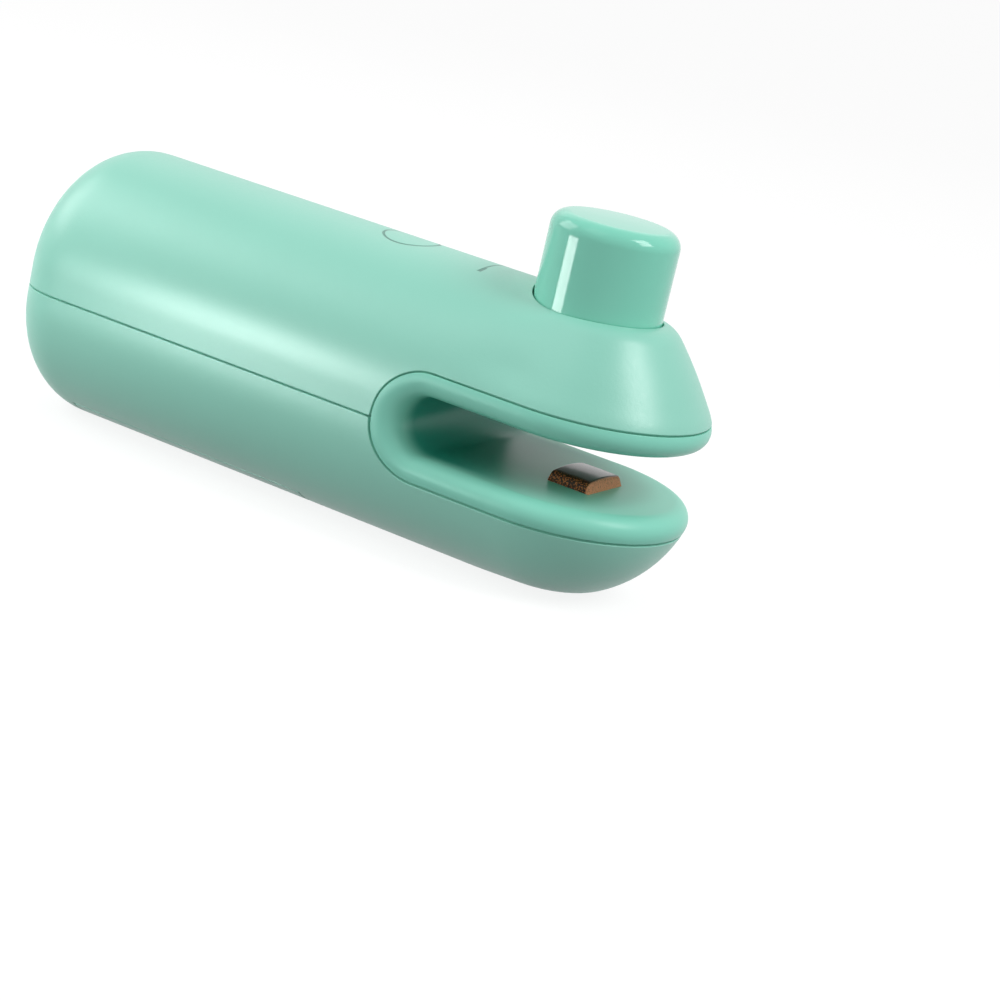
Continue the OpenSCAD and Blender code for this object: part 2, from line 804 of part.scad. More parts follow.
module battery_cradle() {
    half = door_half + door_gap;
    inner = wall + cradle_clear;
    color("#efece2") {
        translate([cradle_rear_x, -half, cradle_top_z - cradle_t])
            cube([cradle_front_x - cradle_rear_x, 2 * half, cradle_t]);
        difference() {
            intersection() {
                union() {
                    for (x = [cradle_rear_x, bay_front_x]) {
                        translate([x, -half - cradle_t, cradle_seat_z])
                            cube([cradle_t, 2 * (half + cradle_t), cradle_top_z - cradle_seat_z]);
                    }
                }
                lower_form(inner, cradle_top_z + bite);
            }
            // Slots for the front contacts' tags
            for (side = [-1, 1]) {
                translate([bay_front_x - bite, side * cell_y - tag_w / 2, tag_z - leaf_t])
                    cube([cradle_t + 2 * bite, tag_w, leaf_t]);
            }
        }
    }
}

// Plate with its back at x = 0 and a bowed leaf towards -X
module leaf() {
    tip_x = leaf_slack - leaf_room;
    rotate([90, 0, 0]) linear_extrude(plate_w, center = true)
        polygon([
            [0, -plate_half], [-leaf_t, -plate_half], [-leaf_t, -plate_half / 2], [tip_x, -leaf_t],
            [tip_x, leaf_t], [-leaf_t, plate_half / 2], [-leaf_t, plate_half], [0, plate_half]
        ]);
}

module front_contact(side) {
    color("#c8c8c4") {
        translate([bay_front_x, side * cell_y, cell_z]) leaf();
        translate([bay_front_x - leaf_t, side * cell_y - tag_w / 2, tag_z - leaf_t])
            cube([leaf_t + cradle_t + tag_l, tag_w, leaf_t]);
    }
}

module contact_front_left() {
    front_contact(1);
}

module contact_front_right() {
    front_contact(-1);
}

module contact_bridge() {
    color("#c8c8c4") {
        for (side = [-1, 1]) {
            translate([bay_rear_x, side * cell_y, cell_z]) mirror([1, 0, 0]) leaf();
        }
        translate([bay_rear_x, -cell_y, cell_z - tag_w / 2]) cube([leaf_t, 2 * cell_y, tag_w]);
    }
}

module battery_door() {
    span = door_front_x - door_rear_x;
    rib_top_z = cell_z - cell_d / 2 - cell_clear;
    color(mint) difference() {
        union() {
            intersection() {
                difference() {
                    lower_form(0, seam_z);
                    lower_form(wall, seam_z + bite);
                }
                door_block(0);
            }
            intersection() {
                union() {
                    // Ribs that hold the cells up
                    for (share = [rib_share, 1 - rib_share], side = [-1, 1]) {
                        translate([door_rear_x + share * span, side * cell_y - rib_w / 2, 0])
                            cube([rib_t, rib_w, rib_top_z]);
                    }
                    // Snap legs at both ends
                    for (x = [door_rear_x, door_front_x - rib_t]) {
                        translate([x, -leg_w / 2, 0]) cube([rib_t, leg_w, rib_top_z]);
                    }
                }
                lower_form(wall / 2, seam_z);
            }
        }
        below(0);
    }
}

// Screws and wires

module screw(spot, tip_z) {
    translate([spot[0], spot[1], screw_seat - screw_head_h]) {
        cylinder(d = screw_head_d, h = screw_head_h);
        cylinder(d = screw_d, h = tip_z - screw_seat + screw_head_h);
    }
}

module casing_screws() {
    color("silver") {
        for (spot = casing_spots) screw(spot, casing_tip_z);
        for (spot = jaw_spots) screw(spot, jaw_tip_z);
    }
}

function unit(v) = v / norm(v);

// Rings of a round wire along a route that never runs straight along Y
function wire_rings(route) = [
    for (i = [0 : len(route) - 1])
        let (
            along = unit(route[min(i + 1, len(route) - 1)] - route[max(i - 1, 0)]),
            n = unit(cross(along, [0, 1, 0])),
            b = cross(along, n)
        )
        [for (k = [0 : wire_sides - 1])
            let (turn = 360 * k / wire_sides)
                route[i] + wire_d / 2 * (cos(turn) * n + sin(turn) * b)]
];

module wire_heater_to_battery() {
    color("#b23a30") tube(wire_rings([
        [clamp_end_x, clamp_y, clamp_mid_z],
        [clamp_end_x - 2 * wire_d, clamp_y, clamp_mid_z],
        [mouth_back_x, clamp_y, tag_wire_z - wire_d / 2],
        [liner_back_x, cell_y, tag_wire_z],
        [tag_x, cell_y, tag_wire_z],
        [tag_x - wire_d, cell_y, tag_wire_z]
    ]));
}

module wire_heater_to_switch() {
    high = blade_up_z + blade_t + wire_d / 2;
    color("#2b2b2e") tube(wire_rings([
        [clamp_end_x, -clamp_y, clamp_mid_z],
        [clamp_end_x - 2 * wire_d, -clamp_y, clamp_mid_z],
        [mouth_back_x, -clamp_y, clamp_mid_z],
        [liner_back_x + wire_d, -blade_w, arm_low_z - wire_d],
        [lift_x, -blade_w / 2, mouth_z - mouth_r],
        [lift_x, -blade_tail_y, mouth_z],
        [lift_x, -blade_tail_y, mouth_z + mouth_r],
        [lift_x, -blade_tail_y, high - 2 * wire_d],
        [lift_x + wire_d / 2, -blade_tail_y, high - wire_d / 2],
        [block_rear_x - blade_tail_l, -blade_tail_y, high],
        [block_rear_x - wire_d / 4, -blade_tail_y, high]
    ]));
}

module wire_switch_to_battery() {
    low = blade_low_z - wire_d / 2;
    color("#b23a30") tube(wire_rings([
        [block_rear_x - wire_d / 4, blade_tail_y, low],
        [block_rear_x - blade_tail_l, blade_tail_y, low],
        [lift_x, blade_tail_y, low - wire_d],
        [lift_x - wire_d / 2, blade_tail_y, mouth_z + mouth_r],
        [lift_x - wire_d, blade_tail_y, mouth_z],
        [lift_x - wire_d, 0, cell_z + 4 * wire_d],
        [lift_x - wire_d, -cell_y + wire_d / 2, tag_wire_z + 2 * wire_d],
        [lift_x - 2 * wire_d, -cell_y, tag_wire_z + wire_d / 2],
        [tag_x + wire_d, -cell_y, tag_wire_z],
        [tag_x - wire_d, -cell_y, tag_wire_z]
    ]));
}

upper_casing();
lower_casing();
mouth_liner();
press_button();
plunger();
press_pad();
return_spring();
button_guide();
guide_screws();
terminal_block();
contact_blade_upper();
contact_blade_lower();
heater_carrier();
heating_ribbon();
heater_cloth();
ribbon_clamps();
battery_cradle();
battery_left();
battery_right();
contact_front_left();
contact_front_right();
contact_bridge();
battery_door();
casing_screws();
wire_heater_to_battery();
wire_heater_to_switch();
wire_switch_to_battery();
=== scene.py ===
"""Looks of a handheld bag sealer: smooth casings, a lined mouth, a gloss button and a cloth-covered heater."""

import json
import math
from contextlib import contextmanager
from typing import NamedTuple

import bmesh
import bpy
import numpy as np
from mathutils import Matrix, Vector

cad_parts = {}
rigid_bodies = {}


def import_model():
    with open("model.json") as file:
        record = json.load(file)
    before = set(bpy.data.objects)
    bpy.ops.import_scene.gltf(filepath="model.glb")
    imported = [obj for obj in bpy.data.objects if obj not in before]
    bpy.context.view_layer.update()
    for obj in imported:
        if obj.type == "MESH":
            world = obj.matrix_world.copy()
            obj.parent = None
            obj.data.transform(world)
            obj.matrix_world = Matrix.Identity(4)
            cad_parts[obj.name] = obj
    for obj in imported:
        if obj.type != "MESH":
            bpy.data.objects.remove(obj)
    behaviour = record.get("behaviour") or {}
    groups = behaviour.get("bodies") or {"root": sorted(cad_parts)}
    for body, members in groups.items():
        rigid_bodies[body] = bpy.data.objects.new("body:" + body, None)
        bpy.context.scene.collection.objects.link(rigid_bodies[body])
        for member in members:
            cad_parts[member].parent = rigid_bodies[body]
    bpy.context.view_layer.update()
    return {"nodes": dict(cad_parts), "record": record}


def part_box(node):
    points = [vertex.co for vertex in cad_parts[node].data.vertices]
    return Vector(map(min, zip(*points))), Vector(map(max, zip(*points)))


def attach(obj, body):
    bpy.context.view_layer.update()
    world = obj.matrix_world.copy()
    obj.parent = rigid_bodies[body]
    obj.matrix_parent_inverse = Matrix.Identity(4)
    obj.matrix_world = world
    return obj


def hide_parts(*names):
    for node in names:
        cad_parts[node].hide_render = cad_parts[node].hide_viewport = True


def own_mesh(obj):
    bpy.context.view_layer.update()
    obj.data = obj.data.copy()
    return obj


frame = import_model()

bl_info = {
    "name": "Bag Sealer",
    "version": (1, 0, 0),
    "blender": (4, 5, 0),
    "location": "View3D > Sidebar > Bag Sealer",
    "description": "Builds the visible pieces of a handheld bag sealer on its packed frame",
    "category": "Object",
}

MM = 0.001
UP = np.array([0.0, 0.0, 1.0])


def node_box(node):
    """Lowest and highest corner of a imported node, in millimetres."""
    low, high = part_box(node)
    return np.array(low) / MM, np.array(high) / MM


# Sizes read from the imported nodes, in millimetres
UPPER_LOW, UPPER_HIGH = node_box("upper_casing")
LINER_LOW, LINER_HIGH = node_box("mouth_liner")
BUTTON_LOW, BUTTON_HIGH = node_box("press_button")
CLOTH_LOW, CLOTH_HIGH = node_box("heater_cloth")
PLUNGER_LOW, PLUNGER_HIGH = node_box("plunger")
DOOR_LOW, DOOR_HIGH = node_box("battery_door")
SPRING_LOW, SPRING_HIGH = node_box("return_spring")

# Casings
BODY_R = UPPER_HIGH[1]
TAIL_X = UPPER_LOW[0]
NOSE_X = -TAIL_X
TOP_AXIS_Z = UPPER_HIGH[2] - BODY_R
LOW_AXIS_Z = BODY_R - 1.0
SEAM_Z = UPPER_LOW[2]
SEAM_GAP = 0.25
LOWER_GAP = 0.37
WALL = 2.0
TAIL_ROUND = 10.0
TAIL_RINGS = 7
SIDE_ROWS, UNDER_ROWS = 40, 28

# Mouth
LINER_T = 3.75
LINER_R = (LINER_HIGH[2] - LINER_LOW[2]) / 2
MOUTH_R = LINER_R - LINER_T
MOUTH_Z = (LINER_LOW[2] + LINER_HIGH[2]) / 2
MOUTH_BACK_X = LINER_LOW[0] + LINER_R
RIM_Z = MOUTH_Z + LINER_R + SEAM_GAP
FOOT_PLAY = 0.35

# Button
BUTTON_X = (BUTTON_LOW[0] + BUTTON_HIGH[0]) / 2
BUTTON_TOP_Z = BUTTON_HIGH[2]
BUTTON_R, BUTTON_BORE, HOLE_R = 9.8, 7.9, 10.02
BUTTON_CROWN = 0.25
SOCKET_IN, SOCKET_OUT, SOCKET_DEPTH = 4.05, 5.45, 6.0

# Head round the button: its land, its flank, the body's inset under it, and where the two blend
HEAD_X = NOSE_X - math.sqrt(BODY_R**2 - (RIM_Z - TOP_AXIS_Z) ** 2)
LAND_Z = BUTTON_TOP_Z - 13.6
FLANK_LEAN, FLANK_BEND, FLANK_COS = 0.5, 0.0135, 0.82
HEAD_INSET, INSET_RUN, INSET_RISE = 0.6, 14.0, 4.5
BLEND_ALONG, BLEND_FOOT, BLEND_TOP = (HEAD_X + 3, HEAD_X - 10), (31.0, 40.0), (44.4, 39.5)
BLEND_LEAST = 0.15

# Battery door
DOOR_GAP = 0.2
GRIP_START, GRIP_END, GRIP_HALF, GRIP_PITCH, GRIP_DEPTH = 4.0, 14.0, 6.2, 2.0, 0.4
RIB_T, RIB_TOP_Z, RIB_SINK, RIB_Y, RIB_HALF = 1.2, 4.4, 0.5, 5.4, 2.5
LEG_INSET, LEG_HALF = 0.25, 4.0

# Screws: places on X and height of the tip for each kind
SCREWS = {"casing": ((-51.85, 4.95), 27.2), "jaw": ((30.5,), 15.65)}
SCREW_HEAD = {"Head": 2 * MM, "Height": 1.6 * MM, "Shank": 1.1 * MM}
GUIDE_HEAD = {"Head": 1.6 * MM, "Height": 1.1 * MM, "Shank": 0.8 * MM}
SCREW_SEAT_Z = 9.0
RECESS_R = 2.15
BOSS_R = RECESS_R + 0.6

# Heater cloth: thickness, width of its finer border, and span and power of the roll of each edge
CLOTH_T, CLOTH_BORDER = 0.3, 1.6
REAR_ROLL, FRONT_ROLL, SIDE_ROLL = (0.25, 2.0), (0.6, 1.35), (1.5, 3.2)

# Spring and wires
COIL_WIRE, COIL_TURNS = 0.9, 8
WIRE_R = 0.75
ROUTES = {
    "wire_heater_to_battery": (
        (39.3, 6.25, 9.95), (36.3, 6.25, 9.95), (22.6, 6.25, 6.05), (14.35, 5.4, 6.8), (4.4, 5.4, 6.8), (2.9, 5.4, 6.8),
    ),
    "wire_heater_to_switch": (
        (39.3, -6.25, 9.95), (36.3, -6.25, 9.95), (22.6, -6.25, 9.95), (15.85, -4, 11.15), (12.6, -2, 16.4),
        (12.6, -1.2, 20.9), (12.6, -1.2, 25.4), (12.6, -1.2, 29.65), (13.35, -1.2, 31.9), (14.35, -1.2, 32.65),
        (15.975, -1.2, 32.65),
    ),
    "wire_switch_to_battery": (
        (15.975, 1.2, 30), (14.35, 1.2, 30), (12.6, 1.2, 28.5), (11.85, 1.2, 25.4), (11.1, 1.2, 20.9), (11.1, 0, 15.95),
        (11.1, -4.65, 9.8), (9.6, -5.4, 7.55), (5.9, -5.4, 6.8), (2.9, -5.4, 6.8),
    ),
}

# Cells: length of the nub, rounding of the can, and bare metal at the plain end and at the nub's end
CELL_NUB, CELL_ROUND, CELL_BARE, CELL_BAND = 0.9, 0.55, (0.5, 1.8), 9.0

# Marks on the ridge: a ring, and a line with a dash at each end. They are sunk, and their darker colour is painted
# shade
RING_X, RING_R = 2.9, 4.4
LINE_X, LINE_HALF = 18.1, 4.8
DASH_X, DASH_Y, DASH_HALF = 18.25, 3.9, 0.9
MARK_DEPTH, MARK_PAINTED_SHADE = 0.18, (0.10, 0.30, 0.27)

# Stage, in metres: the camera's directions, distance, lens and shift, and the lamps
TARGET = Vector((BUTTON_X, 0.0, SEAM_Z)) * MM
EYE, RIGHT = (0.4261, -0.8721, 0.2408), (0.8493, 0.4773, 0.2256)
CAMERA_FAR, LENS, SHIFT = 0.3674, 88.51, (-0.0643, -0.0506)
FLOOR_HALF = 30.0
FLOOR_WHITE = (0.86, 0.86, 0.86, 1)
STUDIO_LIGHT = 0.51
# Each lamp: name, place, aim, size, power, and the rays besides the camera's that don't see it
LAMPS = (
    ("left_strip", (-0.095, -0.133, 0.017), TARGET + Vector((0, 0, 0.004)), (0.055, 0.024), 0.055, "glossy"),
    ("top_front", (-0.15, -0.40, 0.70), TARGET, (0.4, 0.4), 0.4),
    ("nose", (0.35, 0.01, 0.36), TARGET + Vector((0.015, -0.01, 0.015)), (0.16, 0.24), 1.08),
    ("back", (-0.28, 0.42, 0.42), TARGET, (0.5, 0.4), 0.23),
    ("rear", (-0.346, -0.104, 0.232), TARGET, (0.25, 0.25), 0.70),
    ("low_right", (0.22, -0.20, 0.03), TARGET, (0.16, 0.05), 0.06, "glossy"),
    ("button_streak", (-0.054, -0.092, 0.026), TARGET + Vector((0, 0, 0.02)), (0.045, 0.018), 0.036, "diffuse"),
    ("left_sheen", (-0.040, -0.095, 0.010), Vector((0.004, -0.02, 0.022)), (0.08, 0.016), 0.024, "diffuse"),
)


# Settings


class SealerShape(bpy.types.PropertyGroup):
    """Forms that the looks add to the solids."""

    edge_round: bpy.props.FloatProperty(
        name="Seam edge", description="Rounding of the casings' edges along the seams",
        default=0.12 * MM, min=0.05 * MM, max=0.6 * MM, precision=5, unit="LENGTH",
    )
    head_blend: bpy.props.FloatProperty(
        name="Head blend", description="Softness of the join between the body and the button's head",
        default=2.4 * MM, min=0.5 * MM, max=4 * MM, precision=5, unit="LENGTH",
    )
    shoulder_blend: bpy.props.FloatProperty(
        name="Shoulder", description="Softness of the edge round the button's land",
        default=1.8 * MM, min=0.5 * MM, max=5 * MM, precision=5, unit="LENGTH",
    )
    rim_round: bpy.props.FloatProperty(
        name="Mouth rim", description="Rounding of the mouth liner's rim",
        default=3.3 * MM, min=2 * MM, max=3.6 * MM, precision=5, unit="LENGTH",
    )
    button_round: bpy.props.FloatProperty(
        name="Button edge", description="Rounding of the button's top edge",
        default=2.5 * MM, min=1 * MM, max=4 * MM, precision=5, unit="LENGTH",
    )


class SealerFinish(bpy.types.PropertyGroup):
    """Colours of the finishes."""

    casing_colour: bpy.props.FloatVectorProperty(
        name="Casing", description="Satin plastic of both casings and the door",
        default=(0.255, 0.62, 0.50), min=0, max=1, subtype="COLOR",
    )
    liner_colour: bpy.props.FloatVectorProperty(
        name="Liner", description="Smooth plastic of the mouth liner",
        default=(0.25, 0.68, 0.54), min=0, max=1, subtype="COLOR",
    )
    button_colour: bpy.props.FloatVectorProperty(
        name="Button", description="Gloss plastic of the press button",
        default=(0.21, 0.65, 0.50), min=0, max=1, subtype="COLOR",
    )
    cloth_colour: bpy.props.FloatVectorProperty(
        name="Heater cloth", description="Coated glass cloth over the heater",
        default=(0.085, 0.045, 0.022), min=0, max=1, subtype="COLOR",
    )
    sleeve_colour: bpy.props.FloatVectorProperty(
        name="Cell sleeve", description="Plain sleeve of the cells",
        default=(0.05, 0.16, 0.35), min=0, max=1, subtype="COLOR",
    )
    floor_colour: bpy.props.FloatVectorProperty(
        name="Floor", description="Pale floor under the sealer",
        default=(0.2, 0.2, 0.2), min=0, max=1, subtype="COLOR",
    )


# Fields and grids


def smooth_low(a, b, k):
    """Smaller of two fields, rounded where they cross."""
    h = np.clip(0.5 + 0.5 * (b - a) / k, 0, 1)
    return b * (1 - h) + a * h - k * h * (1 - h)


def smooth_high(a, b, k):
    """Larger of two fields, rounded where they cross."""
    return -smooth_low(-a, -b, k)


def soft_low(a, b, k):
    """Smaller of two fields, with a fillet that fades out slowly to both sides."""
    return (a + b - np.sqrt((a - b) ** 2 + k**2)) / 2


def ease(low, high, x):
    """Smooth step from 0 at low to 1 at high."""
    t = np.clip((x - low) / (high - low), 0, 1)
    return t * t * (3 - 2 * t)


def unit(v):
    """Vectors at length 1."""
    length = np.linalg.norm(v, axis=-1, keepdims=True)
    return v / np.maximum(length, 1e-12)


def reach(field, origin, direction, near, far):
    """Distances along rays to where a field turns positive."""
    low = np.full(len(origin), near, float)
    high = np.full(len(origin), far, float)
    for _ in range(40):
        mid = (low + high) / 2
        inside = field(origin + direction * mid[:, None]) < 0
        low, high = np.where(inside, mid, low), np.where(inside, high, mid)
    return (low + high) / 2


def even_ends(count):
    """Shares from 0 to 1 that lie closer together at both ends."""
    return (1 - np.cos(np.linspace(0, math.pi, count))) / 2


def grid_normals(grid):
    """Unit normals of a grid of points, pointing away from the body's axis."""
    normal = unit(np.cross(np.gradient(grid, axis=0), np.gradient(grid, axis=1)))
    middle = np.zeros_like(grid)
    middle[..., 0] = np.clip(grid[..., 0], TAIL_X + BODY_R, HEAD_X)
    middle[..., 2] = MOUTH_Z
    flip = np.sum(normal * (grid - middle), axis=-1, keepdims=True) < 0
    normal = np.where(flip, -normal, normal)
    normal[np.abs(grid[..., 1]) < 1e-6, 1] = 0
    return unit(normal)


def rolled_edge(points, normals, away, edge, depth=WALL, closed=False, tongue=None, sink=0.42):
    """Rows of points that roll from the edge of a surface into the wall of a seam. A tongue closes the seam below."""
    if closed:
        tangent = np.roll(points, -1, axis=0) - np.roll(points, 1, axis=0)
    else:
        tangent = np.gradient(points, axis=0)
    out = unit(np.cross(tangent, normals))
    out = np.where(np.sum(out * away, axis=1, keepdims=True) < 0, -out, out)
    out[np.abs(points[:, 1]) < 1e-6, 1] = 0
    out = unit(out)
    rows = [
        points + edge * ((math.cos(g) - 1) * normals + math.sin(g) * out)
        for g in np.linspace(0, math.pi / 2, 6)[1:]
    ]
    if tongue is not None:
        sunk = rows[-1] - sink * normals
        rows += [sunk, sunk + np.asarray(tongue)[:, None] * out]
        depth -= sink
    rows.append(rows[-1] - (depth - edge) * normals)
    return rows


def half_loop(low, high, first, last):
    """Places round a window of a half grid, from the middle plane round to the middle plane."""
    chain = [(low, j) for j in range(last, first, -1)] + [(i, first) for i in range(low, high)]
    return tuple(np.array(chain + [(high, j) for j in range(first, last + 1)]).T)


# Meshes


class Sheet:
    """Points and faces that are collected, mirrored and welded into one mesh, in millimetres."""

    def __init__(self):
        self.points, self.faces, self.count = [], [], 0

    def add(self, points):
        """Adds points and returns their numbers in the same layout."""
        points = np.asarray(points, float)
        numbers = np.arange(self.count, self.count + points[..., 0].size).reshape(points.shape[:-1])
        self.points.append(points.reshape(-1, 3))
        self.count += numbers.size
        return numbers

    def strip(self, rows, closed=False, keep=None):
        """Quads between rows of numbers; keep tells which ones stay."""
        rows = [np.asarray(r) for r in rows]
        span = len(rows[0])
        for i in range(len(rows) - 1):
            for j in range(span if closed else span - 1):
                if keep is None or keep(i, j):
                    k = (j + 1) % span
                    self.faces.append((rows[i][j], rows[i][k], rows[i + 1][k], rows[i + 1][j]))

    def hem(self, first, rows, last):
        """Quads from one row of numbers over new rows of points to another row of numbers."""
        self.strip([first, *[self.add(r) for r in rows], last])

    def zip(self, first, second, first_at, second_at):
        """Triangles between two rows of numbers, matched by a measure that rises along each."""
        i = j = 0
        while i + j < len(first) + len(second) - 2:
            ahead = j == len(second) - 1 or (i < len(first) - 1 and first_at[i + 1] <= second_at[j + 1])
            self.faces.append((first[i], first[i + 1] if ahead else second[j + 1], second[j]))
            i, j = i + ahead, j + (not ahead)

    def fill(self, loop, hole):
        """Flat face between a loop of numbers and a hole inside it."""
        points = np.concatenate(self.points)
        centre = points[hole].mean(axis=0)
        rows, turns = [], []
        for ring in (np.asarray(loop), np.asarray(hole)):
            turn = np.arctan2(points[ring, 1] - centre[1], points[ring, 0] - centre[0])
            order = np.argsort(turn)
            rows.append(ring[[*order, order[0]]])
            turns.append(np.append(turn[order], turn[order[0]] + 2 * math.pi))
        self.zip(*rows, *turns)

    def box(self, low, high):
        """Plain block between two corners."""
        (x0, y0, z0), (x1, y1, z1) = low, high
        below, above = [self.add([(x0, y0, z), (x1, y0, z), (x1, y1, z), (x0, y1, z)]) for z in (z0, z1)]
        self.strip([below, above], closed=True)
        self.faces += [tuple(below[::-1]), tuple(above)]

    def lathe(self, profile, steps, place):
        """Turns a closed profile of radius and height about an axis given by a placing function."""
        turn = np.linspace(0, 2 * math.pi, steps, endpoint=False)
        rows = []
        for radius, height in profile:
            ring = np.stack([radius * np.cos(turn), radius * np.sin(turn), np.full(steps, height)], axis=1)
            rows.append(self.add(place(ring)))
        self.strip([*rows, rows[0]], closed=True)

    def mirror(self):
        """Adds the other half, across the upright middle plane."""
        points = np.concatenate(self.points)
        self.points = [points, points * np.array([1, -1, 1])]
        self.faces += [tuple(n + self.count for n in reversed(f)) for f in self.faces]
        self.count *= 2

    def weld(self):
        """Points and faces with doubles merged and empty faces dropped."""
        points = np.concatenate(self.points)
        _, first, number = np.unique(np.round(points, 4), axis=0, return_index=True, return_inverse=True)
        number = number.reshape(-1)
        faces = []
        for face in self.faces:
            corners = [int(number[n]) for n in face]
            corners = [c for k, c in enumerate(corners) if c != corners[k - 1]]
            if len(set(corners)) > 2:
                faces.append(corners)
        return points[first], faces

    def piece(self, name, sharp=None):
        """Object of the welded mesh, with its faces outwards."""
        points, faces = self.weld()
        mesh = bpy.data.meshes.new(name)
        mesh.from_pydata([tuple(p) for p in points * MM], [], faces)
        return finish_mesh(name, mesh, sharp)


@contextmanager
def edited(mesh):
    """Mesh that is opened for editing and written back afterwards."""
    work = bmesh.new()
    work.from_mesh(mesh)
    yield work
    work.to_mesh(mesh)
    work.free()


def placed(name, data):
    """New object in the scene."""
    made = bpy.data.objects.new(name, data)
    bpy.context.scene.collection.objects.link(made)
    return made


def finish_mesh(name, mesh, sharp=None):
    """Object of a closed mesh: doubles merged, normals outwards, smooth apart from edges past the sharp angle."""
    with edited(mesh) as work:
        bmesh.ops.remove_doubles(work, verts=work.verts, dist=1e-7)
        bmesh.ops.dissolve_degenerate(work, edges=work.edges, dist=1e-8)
        bmesh.ops.recalc_face_normals(work, faces=work.faces)
        for face in work.faces:
            face.smooth = True
        if sharp is not None:
            for edge in work.edges:
                edge.smooth = len(edge.link_faces) != 2 or edge.calc_face_angle(0) < math.radians(sharp)
    mesh.update()
    return placed(name, mesh)


def join_pieces(name, pieces):
    """One object from several."""
    work = bmesh.new()
    for piece in pieces:
        work.from_mesh(piece.data)
        bpy.data.objects.remove(piece)
    mesh = bpy.data.meshes.new(name)
    work.to_mesh(mesh)
    work.free()
    return finish_mesh(name, mesh, sharp=35)


def smooth_copy(node):
    """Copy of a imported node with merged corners, smooth where its faces meet at a low angle."""
    mesh = frame["nodes"][node].data.copy()
    with edited(mesh) as work:
        bmesh.ops.remove_doubles(work, verts=work.verts, dist=2e-6)
        bmesh.ops.dissolve_degenerate(work, edges=work.edges, dist=1e-7)
    return finish_mesh(node + "_look", mesh, sharp=28)


def bevelled_box(name, low, high, width):
    """Block with rounded edges."""
    sheet = Sheet()
    sheet.box(low, high)
    made = sheet.piece(name)
    with edited(made.data) as work:
        bmesh.ops.bevel(work, geom=list(work.edges), offset=width * MM, segments=3, affect="EDGES", profile=0.5)
        for face in work.faces:
            face.smooth = True
    return made


def settle(piece, body, finish, node):
    """Gives a piece its finish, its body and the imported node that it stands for."""
    piece.data.materials.clear()
    piece.data.materials.append(finish.material)
    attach(piece, body)
    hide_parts(node)


def arc(centre, radius, start, end, count):
    """Points on an arc in a profile, angles in degrees."""
    turns = np.radians(np.linspace(start, end, count))
    return [(centre[0] + radius * math.cos(t), centre[1] + radius * math.sin(t)) for t in turns]


# Casings


class Station(NamedTuple):
    """Section of a casing. Sections on the tail have a radius, those at the button's hole a reach ahead to it."""

    x: float
    edge_z: float
    side: tuple = (0.0, 1.0)
    radius: float = None
    ahead: float = None


def tail_stations(edge_z):
    """Sections along the tail: rings on its flat end, then its rounding."""
    flat_r = BODY_R - TAIL_ROUND
    disc = [(TAIL_X, r) for r in np.linspace(0, flat_r, TAIL_RINGS)]
    turns = np.linspace(0, math.pi / 2, 16)[1:]
    disc += [(TAIL_X + TAIL_ROUND * (1 - math.cos(t)), flat_r + TAIL_ROUND * math.sin(t)) for t in turns]
    return [Station(x, edge_z, radius=r) for x, r in disc]


def mouth_stations(gap_r, turns, up):
    """Sections round the back of the mouth's gap, on its upper or lower side."""
    return [Station(MOUTH_BACK_X - gap_r * math.cos(t), MOUTH_Z + up * gap_r * math.sin(t)) for t in turns]


def walled(grid):
    """Normals of a casing's half skin and the skin inside it. Both ends of the half lie on the middle plane."""
    grid[[0, -1], :, 1] = 0.0
    normals = grid_normals(grid)
    normals[:TAIL_RINGS - 1] = (-1.0, 0.0, 0.0)
    return normals, grid - WALL * normals


def upper_field(shape):
    """Field of the upper body with its head, below zero inside."""

    def field(p):
        x, y, z = p[..., 0], p[..., 1], p[..., 2]
        body = np.sqrt(np.maximum(x - HEAD_X, 0) ** 2 + y**2 + (z - TOP_AXIS_Z) ** 2) - BODY_R
        up = np.maximum(z - RIM_Z, -2)
        flank = np.hypot(x - HEAD_X, y) - (NOSE_X - HEAD_X - FLANK_LEAN * up - FLANK_BEND * up**2)
        head = smooth_high(FLANK_COS * flank, z - LAND_Z, shape.shoulder_blend / MM)
        inset = HEAD_INSET * ease(HEAD_X - INSET_RUN, HEAD_X, x) * ease(RIM_Z, RIM_Z + INSET_RISE, z)
        soft = ease(*BLEND_ALONG, x) * ease(*BLEND_FOOT, z) * ease(*BLEND_TOP, z)
        return soft_low(body + inset, head, BLEND_LEAST + shape.head_blend / MM * soft)

    return field


def section_walk(station, straight, last, count):
    """Angles about the body's axis along a section, and the length of straight wall that is left at each."""
    drop, first = max(straight, 0.0), math.asin(max(-straight, 0.0) / BODY_R)
    full = BODY_R if station.radius is None else station.radius
    walk = even_ends(count) * (drop + full * (last - first))
    if full < 1e-9:
        turns = first + (last - first) * even_ends(count)
    else:
        turns = first + np.maximum(walk - drop, 0) / full
    return turns, np.maximum(drop - walk, 0)


def upper_line(field, station, count=64):
    """Points of the upper casing in one section, from its edge up to the ridge or the button's hole."""
    side, foot = np.array([*station.side, 0.0]), np.array([station.x, 0.0, TOP_AXIS_Z])
    last = math.pi / 2
    if station.ahead is not None:
        spot = np.array([[station.x, 0.0, 0.0]]) + side * station.ahead
        last = math.atan2(reach(field, spot, UP[None], 30, 50)[0] - TOP_AXIS_Z, station.ahead)
    turns, straight = section_walk(station, TOP_AXIS_Z - station.edge_z, last, count)
    rays = np.cos(turns)[:, None] * side + np.sin(turns)[:, None] * UP
    if station.radius is None:
        far = reach(field, np.repeat(foot[None], count, 0), rays, 5, 40)
    else:
        far = np.full(count, station.radius)
    line = foot + rays * far[:, None]
    line[:, 2] -= straight
    if station.ahead is None:
        line[-1, 1] = 0.0
    return line


